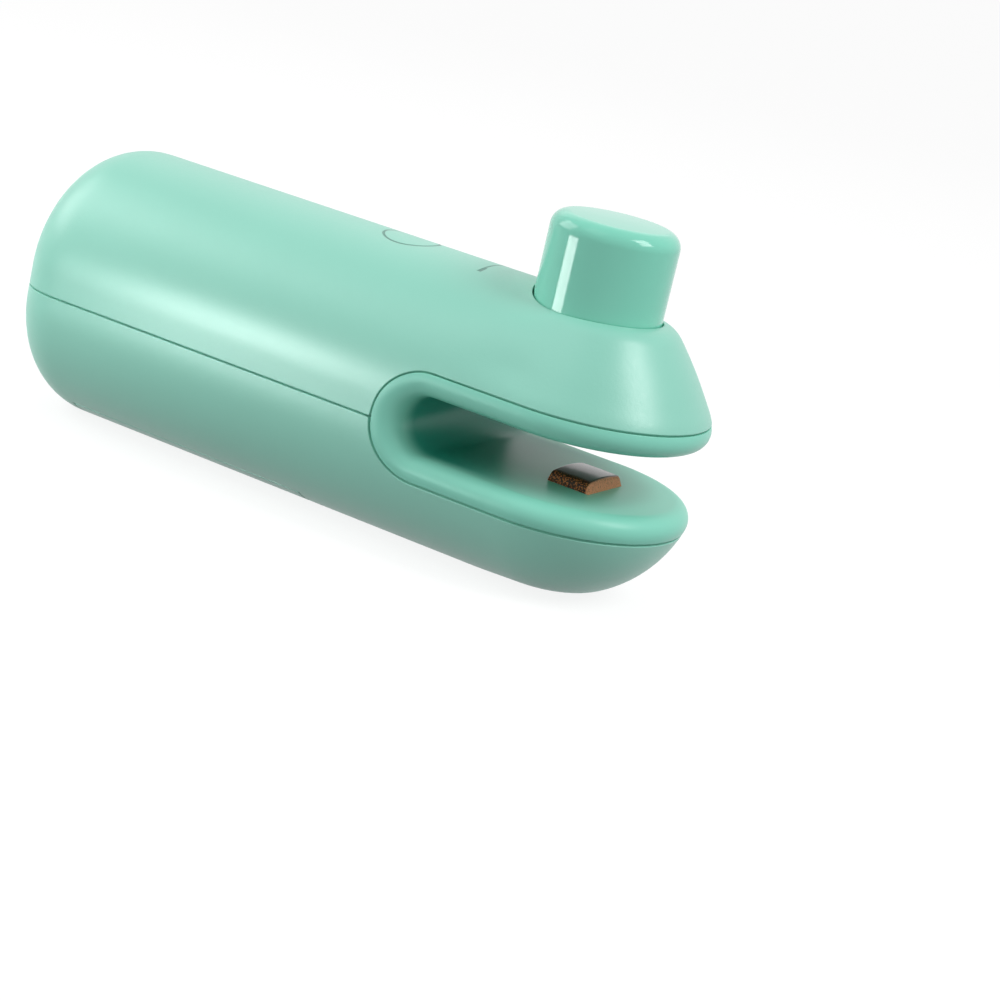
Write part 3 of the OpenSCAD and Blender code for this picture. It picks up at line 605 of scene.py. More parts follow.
def upper_casing_sheet(shape):
    """Upper casing: a walled half skin with rolled edges at the seam, the mouth and the button's hole, mirrored."""
    edge = shape.edge_round / MM
    field = upper_field(shape)
    seam = SEAM_Z + SEAM_GAP / 2 + edge
    gap_r = LINER_R + SEAM_GAP + edge
    arm = MOUTH_Z + gap_r
    hole_r = HOLE_R + edge
    offset = HEAD_X - BUTTON_X
    stations = tail_stations(seam)
    stations += [Station(x, seam) for x in np.linspace(TAIL_X + TAIL_ROUND, MOUTH_BACK_X - gap_r - 0.03, 40)[1:]]
    stations += mouth_stations(gap_r, np.radians(np.linspace(3, 90, 27)), 1)
    stations += [Station(x, arm) for x in np.linspace(MOUTH_BACK_X, BUTTON_X - hole_r, 6)[1:-1]]
    hole_start = len(stations)
    stations += [
        Station(BUTTON_X - hole_r * math.cos(t), arm, ahead=hole_r * math.sin(t))
        for t in np.linspace(0, math.acos(-offset / hole_r), 34)
    ]
    for t in np.radians(np.linspace(90, 0, 31)[1:]):
        ahead = -offset * math.cos(t) + math.sqrt(hole_r**2 - (offset * math.sin(t)) ** 2)
        stations.append(Station(HEAD_X, arm, (math.cos(t), math.sin(t)), ahead=ahead))
    grid = np.array([upper_line(field, s) for s in stations])
    normals, inner = walled(grid)
    sheet = Sheet()
    outside, inside = sheet.add(grid), sheet.add(inner)
    sheet.strip(outside)
    sheet.strip(inside)
    tongue = [0.48 * SEAM_GAP if s.edge_z == seam else 0.96 * SEAM_GAP for s in stations]
    rows = rolled_edge(grid[:, 0], normals[:, 0], grid[:, 0] - grid[:, 1], edge, tongue=tongue)
    sheet.hem(outside[:, 0], rows, inside[:, 0])
    hole = slice(hole_start, None), -1
    inwards = np.array([BUTTON_X, 0.0, 0.0]) - grid[hole]
    inwards[:, 2] = 0
    sheet.hem(outside[hole], rolled_edge(grid[hole], normals[hole], inwards, edge), inside[hole])
    sheet.mirror()
    return sheet


def lower_field(p):
    """Field of the lower body, below zero inside. The flat's edge gets softer towards the nose."""
    x, y, z = p[..., 0], p[..., 1], p[..., 2]
    body = np.sqrt(np.maximum(x - HEAD_X, 0) ** 2 + y**2 + (z - LOW_AXIS_Z) ** 2) - BODY_R
    return smooth_high(body, -z, 0.3 + 1.5 * ease(28, 40, x))


def lower_line(x, side, turns, radius=None):
    """Points of the lower body at downward angles about its axis, in one section."""
    foot = np.array([x, 0.0, LOW_AXIS_Z])
    rays = np.cos(turns)[:, None] * np.array([*side, 0.0]) - np.sin(turns)[:, None] * UP
    if radius is None:
        far = reach(lower_field, np.repeat(foot[None], len(rays), 0), rays, 5, 40)
    else:
        flat = LOW_AXIS_Z / np.maximum(np.sin(turns), 1e-6)
        far = smooth_low(np.full(len(rays), radius), flat, 0.3)
    return foot + rays * far[:, None]


def lower_section(station, split):
    """Points of the lower casing in one section: down its side to the split, then under it to the middle line."""
    turns, straight = section_walk(station, station.edge_z - LOW_AXIS_Z, split, SIDE_ROWS)
    under = split + (math.pi / 2 - split) * np.linspace(0, 1, UNDER_ROWS)[1:]
    line = lower_line(station.x, station.side, np.concatenate([turns, under]), station.radius)
    line[:SIDE_ROWS, 2] += straight
    line[-1, 1] = 0.0
    return line


def lower_casing_sheet(shape):
    """Lower casing: a walled half skin with the door's opening and the screw recesses, mirrored."""
    edge = shape.edge_round / MM
    seam = SEAM_Z - SEAM_GAP / 2 - edge
    gap_r = LINER_R + LOWER_GAP + edge
    arm = MOUTH_Z - gap_r
    rear_x, front_x = DOOR_LOW[0] - DOOR_GAP - edge, DOOR_HIGH[0] + DOOR_GAP + edge
    split = math.acos((DOOR_HIGH[1] + DOOR_GAP + edge) / BODY_R)
    first = math.asin((MOUTH_Z - seam) / gap_r) + 0.03
    seam_end = MOUTH_BACK_X - gap_r * math.cos(first) - 0.03
    beside_door = np.linspace(rear_x, front_x, 36)
    stations = tail_stations(seam)
    rear, front = len(stations), len(stations) + len(beside_door) - 1
    stations += [Station(x, seam) for x in (*beside_door, *np.linspace(front_x, seam_end, 29)[1:])]
    stations += mouth_stations(gap_r, np.linspace(first, math.pi / 2, 27), -1)
    stations += [Station(x, arm) for x in np.linspace(MOUTH_BACK_X, HEAD_X, 16)[1:]]
    stations += [Station(HEAD_X, arm, (math.cos(t), math.sin(t))) for t in np.radians(np.linspace(90, 0, 37)[1:])]
    grid = np.array([lower_section(s, split) for s in stations])
    normals, inner = walled(grid)
    sheet = Sheet()
    outside, inside = sheet.add(grid), sheet.add(inner)
    spots = [x for places, _ in SCREWS.values() for x in places]
    for skin, points, radius in ((outside, grid, RECESS_R + edge), (inside, inner, BOSS_R)):
        windows = [spot_window(points, x, radius + 0.25) for x in spots]
        gaps = [(rear, front, SIDE_ROWS - 1), *windows]
        sheet.strip(skin, keep=lambda i, j: not any(a <= i < b and j >= c for a, b, c in gaps))
        for x, window in zip(spots, windows):
            rows = recess_rows(x, edge) if skin is outside else boss_rows(x)
            sink_spot(sheet, skin, points, window, x, rows)
    tongue = [0.48 * SEAM_GAP if s.edge_z == seam else 0.96 * LOWER_GAP for s in stations]
    rows = rolled_edge(grid[:, 0], normals[:, 0], grid[:, 0] - grid[:, 1], edge, tongue=tongue, sink=0.7)
    sheet.hem(outside[:, 0], rows, inside[:, 0])
    opening = half_loop(rear, front, SIDE_ROWS - 1, grid.shape[1] - 1)
    inwards = np.array([(rear_x + front_x) / 2, 0.0, 0.0]) - grid[opening]
    sheet.hem(outside[opening], rolled_edge(grid[opening], normals[opening], inwards, edge), inside[opening])
    sheet.mirror()
    return sheet


def half_ring(x, radius, height):
    """Half ring about a spot on the middle line, from behind it to ahead of it."""
    turn = np.linspace(math.pi, 0, 31)
    along, across = x + radius * np.cos(turn), radius * np.sin(turn)
    return np.column_stack([along, across, height(along, across) if callable(height) else np.full(len(turn), height)])


def spot_window(grid, x, radius):
    """Stations before and behind a ring on the middle line, and the last column beside it."""
    line = grid[:, -1, 0]
    low, high = np.flatnonzero(line <= x - radius)[-1], np.flatnonzero(line >= x + radius)[0]
    return low, high, np.flatnonzero(grid[low:high + 1, :, 1].min(axis=0) >= radius)[-1]


def sink_spot(sheet, skin, grid, window, x, rows):
    """Joins the open window of a half skin to the first of some half rings, and the rings to each other."""
    at = half_loop(*window, grid.shape[1] - 1)
    rings = [sheet.add(r) for r in rows]
    turns = [np.arctan2(np.abs(p[:, 1]), x - p[:, 0]) for p in (grid[at], rows[0])]
    sheet.zip(skin[at], rings[0], *turns)
    sheet.strip(rings)


def recess_rows(x, edge):
    """Half rings of a screw recess, from its rolled edge to the middle of its seat."""
    rim = half_ring(x, RECESS_R + edge, bottom_of)
    rows = []
    for g in np.linspace(0, math.pi / 2, 5):
        rows.append(half_ring(x, RECESS_R + edge * (1 - math.sin(g)), 0.0))
        rows[-1][:, 2] = rim[:, 2] + edge * (1 - math.cos(g))
    seat = ((RECESS_R, SCREW_SEAT_Z - edge), (RECESS_R - edge, SCREW_SEAT_Z), (0, SCREW_SEAT_Z))
    return rows + [half_ring(x, radius, height) for radius, height in seat]


def boss_rows(x):
    """Half rings of the boss that stands round a screw recess inside the casing."""
    top = SCREW_SEAT_Z + 1
    return [half_ring(x, BOSS_R, lambda x, y: bottom_of(x, y, WALL)), half_ring(x, BOSS_R, top), half_ring(x, 0, top)]


def bottom_of(x, y, inset=0.0):
    """Height of the lower body's underside at a place, or of the skin inside it."""
    tail_r = TAIL_ROUND - inset
    round_x = np.clip(TAIL_X + TAIL_ROUND - x, 0, tail_r)
    radius = BODY_R - TAIL_ROUND + np.sqrt(tail_r**2 - round_x**2)
    return smooth_high(LOW_AXIS_Z - np.sqrt(np.maximum(radius**2 - y**2, 0)), inset, 0.3)


def door_sheet(shape):
    """Battery door: a patch of the lower casing with finger grooves, ribs and snap legs."""
    edge = shape.edge_round / MM
    (rear, _, _), (front, half, _) = DOOR_LOW, DOOR_HIGH
    grip_x = rear + GRIP_END + 2
    xs = np.concatenate([np.linspace(rear + edge, grip_x, 90), np.linspace(grip_x, front - edge, 26)[1:]])
    start = math.acos((half - edge) / BODY_R)
    turns = start + (math.pi / 2 - start) * np.linspace(0, 1, 48)
    grid = np.array([lower_line(x, (0.0, 1.0), turns) for x in xs])
    grid[:, -1, 1] = 0.0
    normals = grid_normals(grid)
    along = grid[..., 0] - rear
    groove = 0.5 - 0.5 * np.cos((along - GRIP_START) * 2 * math.pi / GRIP_PITCH)
    groove *= ease(GRIP_START, GRIP_START + 0.3, along) * ease(GRIP_END, GRIP_END - 0.3, along)
    groove *= ease(GRIP_HALF, GRIP_HALF - 1, np.abs(grid[..., 1]))
    sheet = Sheet()
    outside, inside = sheet.add(grid - normals * (GRIP_DEPTH * groove)[..., None]), sheet.add(grid - WALL * normals)
    sheet.strip(outside)
    sheet.strip(inside)
    at = half_loop(0, len(xs) - 1, 0, grid.shape[1] - 1)
    away = grid[at] - np.array([xs.mean(), 0.0, LOW_AXIS_Z])
    sheet.hem(outside[at], rolled_edge(grid[at], normals[at], away, edge), inside[at])
    sheet.mirror()
    for share in (0.2, 0.8):
        for y in (-RIB_Y, RIB_Y):
            x = rear + share * (front - rear)
            low_z = bottom_of(x, abs(y) + RIB_HALF) + RIB_SINK
            sheet.box((x, y - RIB_HALF, low_z), (x + RIB_T, y + RIB_HALF, RIB_TOP_Z))
    for x in (rear + LEG_INSET, front - LEG_INSET - RIB_T):
        sheet.box((x, -LEG_HALF, RIB_SINK), (x + RIB_T, LEG_HALF, RIB_TOP_Z))
    return sheet


# Mouth liner


def body_half_width(z):
    """Half width of the body's side at a height."""
    over = np.maximum(z - TOP_AXIS_Z, 0) + np.maximum(LOW_AXIS_Z - z, 0)
    return np.sqrt(BODY_R**2 - over**2)


def rim_line(face_z, into_z, rim, edge, rows=22):
    """Rim in one section: reach sideways and depth from the mouth's face."""

    def width(depth):
        return body_half_width(face_z + into_z * depth)

    def field(p):
        slope = (width(p[..., 1] + 0.05) - width(p[..., 1] - 0.05)) / 0.1
        a = (p[..., 0] - width(p[..., 1])) / np.sqrt(1 + slope**2)
        return np.hypot(np.maximum(a + rim, 0), np.maximum(rim - p[..., 1], 0)) - rim

    down = np.linspace(LINER_T - edge, rim, 5)[:-1]
    turn = np.linspace(0, math.pi / 2, rows)
    rays = np.stack([np.cos(turn), -np.sin(turn), np.zeros(rows)], axis=1)
    start = np.repeat(np.array([[width(np.array([rim]))[0] - rim, rim, 0.0]]), rows, 0)
    far = reach(field, start, rays, 0.2 * rim, 2 * rim)
    wide = start[:, 0] + rays[:, 0] * far
    deep = start[:, 1] + rays[:, 1] * far
    return np.concatenate([width(down), wide]), np.concatenate([down, np.maximum(deep, 0)])


def liner_runs():
    """Stations round the mouth, in four runs: foot on its face, direction sideways, direction into the liner."""
    straight = np.linspace(MOUTH_BACK_X, HEAD_X, 20)
    fan = np.radians(np.linspace(90, -90, 73))[1:-1]
    bend = np.linspace(-math.pi / 2, math.pi / 2, 49)[1:-1]

    def arm(up):
        z, into = MOUTH_Z + up * MOUTH_R, (0.0, 0.0, up)
        ahead = [((x, 0.0, z), (0.0, 1.0, 0.0), into) for x in straight]
        nose = [((HEAD_X, 0.0, z), (math.cos(t), math.sin(t), 0.0), into) for t in fan]
        back = [((x, 0.0, z), (0.0, -1.0, 0.0), into) for x in straight[::-1]]
        return ahead + nose + back

    def curve(side, turns):
        intos = [(-math.cos(t), 0.0, math.sin(t)) for t in turns]
        return [((MOUTH_BACK_X + MOUTH_R * n[0], 0.0, MOUTH_Z + MOUTH_R * n[2]), (0.0, side, 0.0), n) for n in intos]

    return {"upper": arm(1.0), "left": curve(-1.0, bend[::-1]), "lower": arm(-1.0)[::-1], "right": curve(1.0, bend)}


def liner_sheet(shape):
    """Mouth liner: a round rim all round, the mouth's back wall, and both jaws' flat faces with their openings."""
    rim, edge = shape.rim_round / MM, shape.edge_round / MM
    parts, stations = {}, []
    for name, run in liner_runs().items():
        parts[name] = list(range(len(stations), len(stations) + len(run)))
        stations += run
    grid = []
    for foot, side, into in stations:
        wide, deep = rim_line(foot[2], into[2], rim, edge)
        grid.append(np.array(foot) + np.outer(wide, side) + np.outer(deep, into))
    grid = np.array(grid)
    _, side, into = [np.array(column) for column in zip(*stations)]
    sheet = Sheet()
    numbers = sheet.add(grid)
    sheet.strip(numbers.T, closed=True)
    first = grid[:, 0]
    along = np.roll(first, -1, 0) - np.roll(first, 1, 0)
    normals = unit(np.cross(along, grid[:, 1] - first))
    normals = np.where(np.sum(normals * side, axis=1, keepdims=True) < 0, -normals, normals)
    rows = rolled_edge(first, normals, into, edge, depth=1.5, closed=True)
    walls = [sheet.add(r) for r in rows]
    sheet.strip([numbers[:, 0], *walls], closed=True)
    # Back wall of the mouth and the liner's own back
    left_turns = [parts["upper"][-1], *parts["left"], parts["lower"][0]]
    right_turns = [parts["upper"][0], *parts["right"][::-1], parts["lower"][-1]]
    borders = []
    for source, points in ((numbers[:, -1], grid[:, -1]), (walls[-1], rows[-1])):
        shares = np.linspace(0, 1, 13)[1:-1]
        middle = [sheet.add(points[left_turns] * (1 - s) + points[right_turns] * s) for s in shares]
        sheet.strip([source[left_turns], *middle, source[right_turns]])
        ends = {"upper": [m[0] for m in middle], "lower": [m[-1] for m in middle[::-1]]}
        borders.append({name: [*source[parts[name]], *ends[name]] for name in ends})
    # Flat faces of the jaws, with the openings for the foot and the heater
    foot_half = PLUNGER_HIGH[1] + FOOT_PLAY
    holes = {
        "upper": (1, PLUNGER_LOW[0] - FOOT_PLAY, PLUNGER_HIGH[0] + FOOT_PLAY, foot_half),
        "lower": (-1, CLOTH_LOW[0], CLOTH_HIGH[0], CLOTH_HIGH[1]),
    }
    for name, (up, x0, x1, half) in holes.items():
        face_z = MOUTH_Z + up * MOUTH_R
        loops = []
        for z, border in zip((face_z, face_z + up * LINER_T), borders):
            loops.append(sheet.add([(x0, -half, z), (x1, -half, z), (x1, half, z), (x0, half, z)]))
            sheet.fill(border[name], loops[-1])
        sheet.strip(loops, closed=True)
    return sheet


# Button, heater, cells, spring and wires


def button_sheet(shape):
    """Press button: a cup with a crowned top, a socket for the stem and two tabs."""
    rise = shape.button_round / MM
    flat_r, low, ceiling = BUTTON_R - rise, BUTTON_LOW[2], PLUNGER_HIGH[2]

    def crown(r):
        return BUTTON_TOP_Z - BUTTON_CROWN * (r / BUTTON_R) ** 2

    edge_z, socket_z = crown(flat_r) - rise, ceiling - SOCKET_DEPTH
    profile = [(0.0, BUTTON_TOP_Z), *[(r, crown(r)) for r in np.linspace(0.8, flat_r, 10)]]
    profile += arc((flat_r, edge_z), rise, 88, 0, 18)
    profile += [(BUTTON_R, z) for z in np.linspace(edge_z - 0.3, low + 0.5, 10)]
    profile += arc((BUTTON_R - 0.2, low + 0.2), 0.2, 0, -90, 4)
    profile += [(BUTTON_BORE, low), (BUTTON_BORE, ceiling), (SOCKET_OUT, ceiling), (SOCKET_OUT, socket_z)]
    profile += [(SOCKET_IN, socket_z), (SOCKET_IN, ceiling), (0.0, ceiling)]
    sheet = Sheet()
    sheet.lathe(profile, 128, lambda ring: ring + np.array([BUTTON_X, 0.0, 0.0]))
    for x0, x1 in ((BUTTON_LOW[0], BUTTON_X - BUTTON_R + 0.3), (BUTTON_X + BUTTON_R - 0.3, BUTTON_HIGH[0])):
        sheet.box((x0, -4, low), (x1, 4, low + 1))
    return sheet


def cloth_sheet():
    """Coated cloth over the heater: rolled edges, domed top, skirt tucked into its pocket."""
    half_x, half_y = (CLOTH_HIGH[0] - CLOTH_LOW[0]) / 2, CLOTH_HIGH[1]
    jaw = MOUTH_Z - MOUTH_R
    height = CLOTH_HIGH[2] - jaw
    centre = np.array([(CLOTH_LOW[0] + CLOTH_HIGH[0]) / 2, 0.0, 0.0])

    def roll(room, span, power):
        left = 1 - np.clip(room / span, 0, 1)
        return (1 - left**power) ** (1 / power)

    def steps(half):
        inner = np.linspace(-1, 1, 25) * (half - CLOTH_BORDER)
        border = half - CLOTH_BORDER * (1 - even_ends(15)[1:])
        return np.concatenate([-border[::-1], inner, border])

    def skin(inset):
        xs, ys = np.meshgrid(steps(half_x), steps(half_y), indexing="ij")
        ends = np.where(xs < 0, roll(half_x + xs, *REAR_ROLL), roll(half_x - xs, *FRONT_ROLL))
        rise = ends * roll(half_y - np.abs(ys), *SIDE_ROLL)
        dome = 1 - 0.22 * (ys / half_y) ** 2 - 0.04 * (xs / half_x) ** 2
        z = jaw + (height - inset) * rise * dome
        squeeze = np.array([1 - inset / half_x, 1 - inset / half_y, 1.0])
        return np.stack([xs, ys, z], axis=-1) * squeeze + centre

    def border(grid):
        return np.concatenate([grid[:-1, 0], grid[-1, :-1], grid[:0:-1, -1], grid[0, :0:-1]])

    sheet = Sheet()
    rings = []
    for inset in (0.0, CLOTH_T):
        points = skin(inset)
        numbers = sheet.add(points)
        sheet.strip(numbers)
        skirt = border(points)
        skirt[:, 2] = CLOTH_LOW[2]
        rings.append(sheet.add(skirt))
        sheet.strip([border(numbers), rings[-1]], closed=True)
    sheet.strip(rings, closed=True)
    return sheet


def cell_sheet(low, high, ahead):
    """Plain cell with rolled ends; ahead tells which way its nub points."""
    radius, length = (high[1] - low[1]) / 2, high[0] - low[0]
    middle, start = (low + high) / 2, low[0] if ahead > 0 else high[0]
    can = length - CELL_NUB
    round_r = radius - CELL_ROUND
    profile = [(0.0, 0.0), (radius - 1.2, 0.0), (radius - 1.0, 0.25)]
    profile += arc((round_r, CELL_ROUND), CELL_ROUND, -90, 0, 6)
    profile += arc((round_r, can - CELL_ROUND), CELL_ROUND, 0, 90, 6)
    profile += [(radius - 1.0, can - 0.05), (radius - 1.25, can - 0.3), (2.05, can - 0.3), (1.9, can - 0.1)]
    profile += arc((1.65, length - 0.25), 0.25, 0, 90, 5)
    profile += [(0.0, length)]

    def place(ring):
        return np.stack([start + ahead * ring[:, 2], middle[1] + ring[:, 0], middle[2] + ring[:, 1]], axis=1)

    sheet = Sheet()
    sheet.lathe(profile, 72, place)
    return sheet


def coil_line():
    """Points along the spring's wire: a closed turn at each end, even turns between."""
    rise = SPRING_HIGH[2] - SPRING_LOW[2] - COIL_WIRE
    coil_r = (SPRING_HIGH[1] - SPRING_LOW[1] - COIL_WIRE) / 2
    line = []
    for done in COIL_TURNS * np.linspace(0, 1, COIL_TURNS * 48 + 1):
        flat = COIL_WIRE * min(done, 1.0) + COIL_WIRE * max(done - COIL_TURNS + 1, 0.0)
        open_share = np.clip((done - 1) / (COIL_TURNS - 2), 0, 1)
        z = SPRING_LOW[2] + COIL_WIRE / 2 + flat + (rise - 2 * COIL_WIRE) * open_share
        angle = done * 2 * math.pi
        line.append((BUTTON_X + coil_r * math.cos(angle), coil_r * math.sin(angle), z))
    return line


def smooth_route(points, steps=14):
    """Points of a smooth line through the given ones."""
    points = np.array(points, float)
    padded = np.vstack([2 * points[0] - points[1], points, 2 * points[-1] - points[-2]])
    line = []
    for a, b, c, d in zip(padded, padded[1:], padded[2:], padded[3:]):
        for t in np.linspace(0, 1, steps, endpoint=False):
            bend = (2 * a - 5 * b + 4 * c - d) * t**2 + (3 * b - a - 3 * c + d) * t**3
            line.append(0.5 * (2 * b + (c - a) * t + bend))
    line.append(points[-1])
    return line


# Nodes


class Wire:
    """A node's output that takes part in plain arithmetic."""

    def __init__(self, nodes, out):
        self.nodes, self.out = nodes, out

    def math(self, operation, *values):
        return self.nodes.add("ShaderNodeMath", {"operation": operation}, values)

    def __add__(self, other):
        return self.math("ADD", self, other)

    __radd__ = __add__

    def __sub__(self, other):
        return self.math("SUBTRACT", self, other)

    def __rsub__(self, other):
        return self.math("SUBTRACT", other, self)

    def __mul__(self, other):
        return self.math("MULTIPLY", self, other)

    __rmul__ = __mul__

    def __pow__(self, other):
        return self.math("POWER", self, other)

    def __abs__(self):
        return self.math("ABSOLUTE", self)

    def least(self, other):
        return self.math("MINIMUM", self, other)

    def most(self, other):
        return self.math("MAXIMUM", self, other)

    def ramp(self, start, end):
        """0 below start, 1 above end, smooth between."""
        return self.nodes.add(
            "ShaderNodeMapRange", {"interpolation_type": "SMOOTHSTEP"},
            {"Value": self, "From Min": start, "From Max": end, "To Min": 0.0, "To Max": 1.0},
        )


class Nodes:
    """Node tree that is filled node by node."""

    def __init__(self, tree):
        self.tree = tree
        tree.nodes.clear()

    def feed(self, node, values):
        """Sets or links a node's sockets. A list links several outputs to one socket."""
        for key, value in values.items() if isinstance(values, dict) else enumerate(values):
            for one in value if isinstance(value, list) else [value]:
                if isinstance(one, Wire):
                    self.tree.links.new(one.out, node.inputs[key])
                else:
                    node.inputs[key].default_value = one

    def add(self, kind, settings=None, values=(), out=0):
        """Output of a new node, with its settings set first and then its sockets."""
        node = self.tree.nodes.new(kind)
        for key, value in (settings or {}).items():
            setattr(node, key, value)
        self.feed(node, values)
        return Wire(self, node.outputs[out] if len(node.outputs) else None)


class Finish(Nodes):
    """A material that is put together from nodes. Its spot and axes are object coordinates in millimetres."""

    def __init__(self, name, **constants):
        self.material = bpy.data.materials.new(name)
        self.material.use_nodes = True
        super().__init__(self.material.node_tree)
        surface = self.add("ShaderNodeBsdfPrincipled")
        self.add("ShaderNodeOutputMaterial", None, {"Surface": surface})
        self.surface = surface.out.node
        self.set(**constants)
        spot = self.add("ShaderNodeTexCoord", out="Object")
        self.spot = self.add("ShaderNodeVectorMath", {"operation": "SCALE"}, {0: spot, "Scale": 1 / MM})
        self.axes = [self.add("ShaderNodeSeparateXYZ", None, [self.spot], out=k) for k in range(3)]

    def set(self, **values):
        """Sets or links sockets of the surface."""
        self.feed(self.surface, {key.replace("_", " "): value for key, value in values.items()})

    def noise(self, scale, detail=2.0, roughness=0.5, spot=None):
        values = {"Vector": spot or self.spot, "Scale": scale, "Detail": detail, "Roughness": roughness}
        return self.add("ShaderNodeTexNoise", None, values, out="Fac")

    def mix(self, first, second, factor):
        return self.add("ShaderNodeMix", {"data_type": "RGBA"}, {0: factor, 6: first, 7: second}, out=2)

    def flow(self, colour, shade):
        """Colour with slow, faint changes, as in moulded plastic."""
        return self.mix(rgba(colour, 1 - shade), rgba(colour, 1 + shade), self.noise(0.045, 3.0))

    def bump(self, height, distance=1.0, strength=1.0):
        """Normal from a height in millimetres."""
        values = {"Height": height, "Distance": distance * MM, "Strength": strength}
        return self.add("ShaderNodeBump", None, values, out="Normal")


class Tree(Nodes):
    """Geometry Nodes tree with named inputs."""

    def __init__(self, name, **inputs):
        super().__init__(bpy.data.node_groups.new(name, "GeometryNodeTree"))
        face = self.tree.interface
        face.new_socket("Geometry", in_out="OUTPUT", socket_type="NodeSocketGeometry")
        self.ids = {}
        for key, kind in {"Geometry": "Geometry", **inputs, "Material": "Material"}.items():
            self.ids[key] = face.new_socket(key, in_out="INPUT", socket_type="NodeSocket" + kind).identifier
        self.source = self.add("NodeGroupInput").out.node

    def __getitem__(self, key):
        return Wire(self, self.source.outputs[key])

    def end(self, geometry):
        """Closes the tree with plain geometry in its material."""
        real = self.add("GeometryNodeRealizeInstances", None, [geometry])
        dressed = self.add("GeometryNodeSetMaterial", None, {"Geometry": real, "Material": self["Material"]})
        self.add("NodeGroupOutput", None, {0: dressed})
        return self

    def grow(self, name, points, finish, linked=False, **values):
        """Plain mesh object made by the tree from points in millimetres, linked into a line or loose."""
        seed = bpy.data.meshes.new(name + "_seed")
        edges = [(k, k + 1) for k in range(len(points) - 1)] if linked else []
        seed.from_pydata([tuple(np.array(p) * MM) for p in points], edges, [])
        base = placed(name + "_seed", seed)
        modifier = base.modifiers.new("form", "NODES")
        modifier.node_group = self.tree
        for key, value in {**values, "Material": finish.material}.items():
            modifier[self.ids[key]] = value
        ready = base.evaluated_get(bpy.context.evaluated_depsgraph_get())
        mesh = bpy.data.meshes.new_from_object(ready)
        bpy.data.objects.remove(base)
        return finish_mesh(name, mesh, sharp=35)


def screw_tree():
    """Cross-recess screws standing on points, heads down."""
    tree = Tree("screws", Head="Float", Height="Float", Shank="Float", Length="Float")
    head, height, length = tree["Head"], tree["Height"], tree["Length"]

    def rod(sides, radius, depth):
        values = {"Vertices": sides, "Radius": radius, "Depth": depth}
        return tree.add("GeometryNodeMeshCylinder", {"fill_type": "NGON"}, values)

    def lifted(geometry, z):
        rise = tree.add("ShaderNodeCombineXYZ", None, {"Z": z})
        return tree.add("GeometryNodeTransform", None, {"Geometry": geometry, "Translation": rise})

    arm, slit = head * 1.25, head * 0.26
    cuts = []
    for wide, thick, share in ((arm, slit, 1.1), (slit, arm, 1.16)):
        size = tree.add("ShaderNodeCombineXYZ", None, {"X": wide, "Y": thick, "Z": height * share})
        cuts.append(lifted(tree.add("GeometryNodeMeshCube", None, {"Size": size}), height * -0.5))
    cut_head = tree.add(
        "GeometryNodeMeshBoolean", {"operation": "DIFFERENCE", "solver": "EXACT"},
        {"Mesh 1": rod(40, head, height), "Mesh 2": cuts},
    )
    shank = lifted(rod(24, tree["Shank"], length), height + length * 0.5)
    screw = tree.add("GeometryNodeJoinGeometry", None, {0: [lifted(cut_head, height * 0.5), shank]})
    spots = tree.add("GeometryNodeMeshToPoints", None, {"Mesh": tree["Geometry"]})
    return tree.end(tree.add("GeometryNodeInstanceOnPoints", None, {"Points": spots, "Instance": screw}))


def tube_tree():
    """Round tube along a line of points."""
    tree = Tree("tubes", Radius="Float", Sides="Int")
    line = tree.add("GeometryNodeMeshToCurve", None, {"Mesh": tree["Geometry"]})
    ring = tree.add("GeometryNodeCurvePrimitiveCircle", None, {"Resolution": tree["Sides"], "Radius": tree["Radius"]})
    values = {"Curve": line, "Profile Curve": ring, "Fill Caps": True}
    return tree.end(tree.add("GeometryNodeCurveToMesh", None, values))


# Finishes


def rgba(colour, scale=1.0):
    """Colour scaled as a whole or channel by channel, with its alpha."""
    return (*np.minimum(np.multiply(colour, scale), 1.0), 1.0)


def moulded(name, colour, roughness, grain, grain_mm, shade=0.04, **constants):
    """Moulded plastic: faint flow in its colour, fine grain in its surface."""
    finish = Finish(name, IOR=1.46, **constants)
    finish.tone = finish.flow(colour, shade)
    speck = finish.noise(1 / grain_mm, 3.0, 0.6)
    finish.set(
        Base_Color=finish.tone, Roughness=roughness + 0.10 * (speck - 0.5), Normal=finish.bump(speck, grain),
    )
    return finish


def ridge_marks(x, y, z):
    """1 in the sunk ring and line on the upper casing's ridge, 0 elsewhere."""
    ring = 1 - abs(((x - RING_X) ** 2 + y * y) ** 0.5 - RING_R).ramp(0.10, 0.24)
    line = (abs(x - LINE_X) - 0.09).most(abs(y) - LINE_HALF)
    dash = (abs(x - DASH_X) - 0.25).most(abs(abs(y) - DASH_Y) - DASH_HALF)
    return ring.most(1 - line.least(dash).ramp(-0.02, 0.1)) * z.ramp(40, 41)


def casing_finish(name, colour, marks=False):
    """Satin spark-eroded plastic, on the upper casing with marks sunk into its ridge and darkened by painted shade."""
    finish = Finish(name, IOR=1.47, Specular_IOR_Level=0.7)
    tone = finish.flow(colour, 0.03)
    coarse = finish.noise(1.9, 2.0, 0.55)
    fine = finish.noise(5.2, 2.0, 0.6)
    height = 0.012 * coarse + 0.010 * fine
    if marks:
        groove = ridge_marks(*finish.axes)
        # Painted shade: the sunk marks are tinted darker, as shade inside the grooves
        tone = finish.mix(tone, rgba(colour, MARK_PAINTED_SHADE), groove * 0.85)
        height = height - MARK_DEPTH * groove
    finish.set(Base_Color=tone, Roughness=0.36 + 0.16 * (coarse - 0.5) + 0.12 * (fine - 0.5))
    finish.set(Normal=finish.bump(height))
    return finish


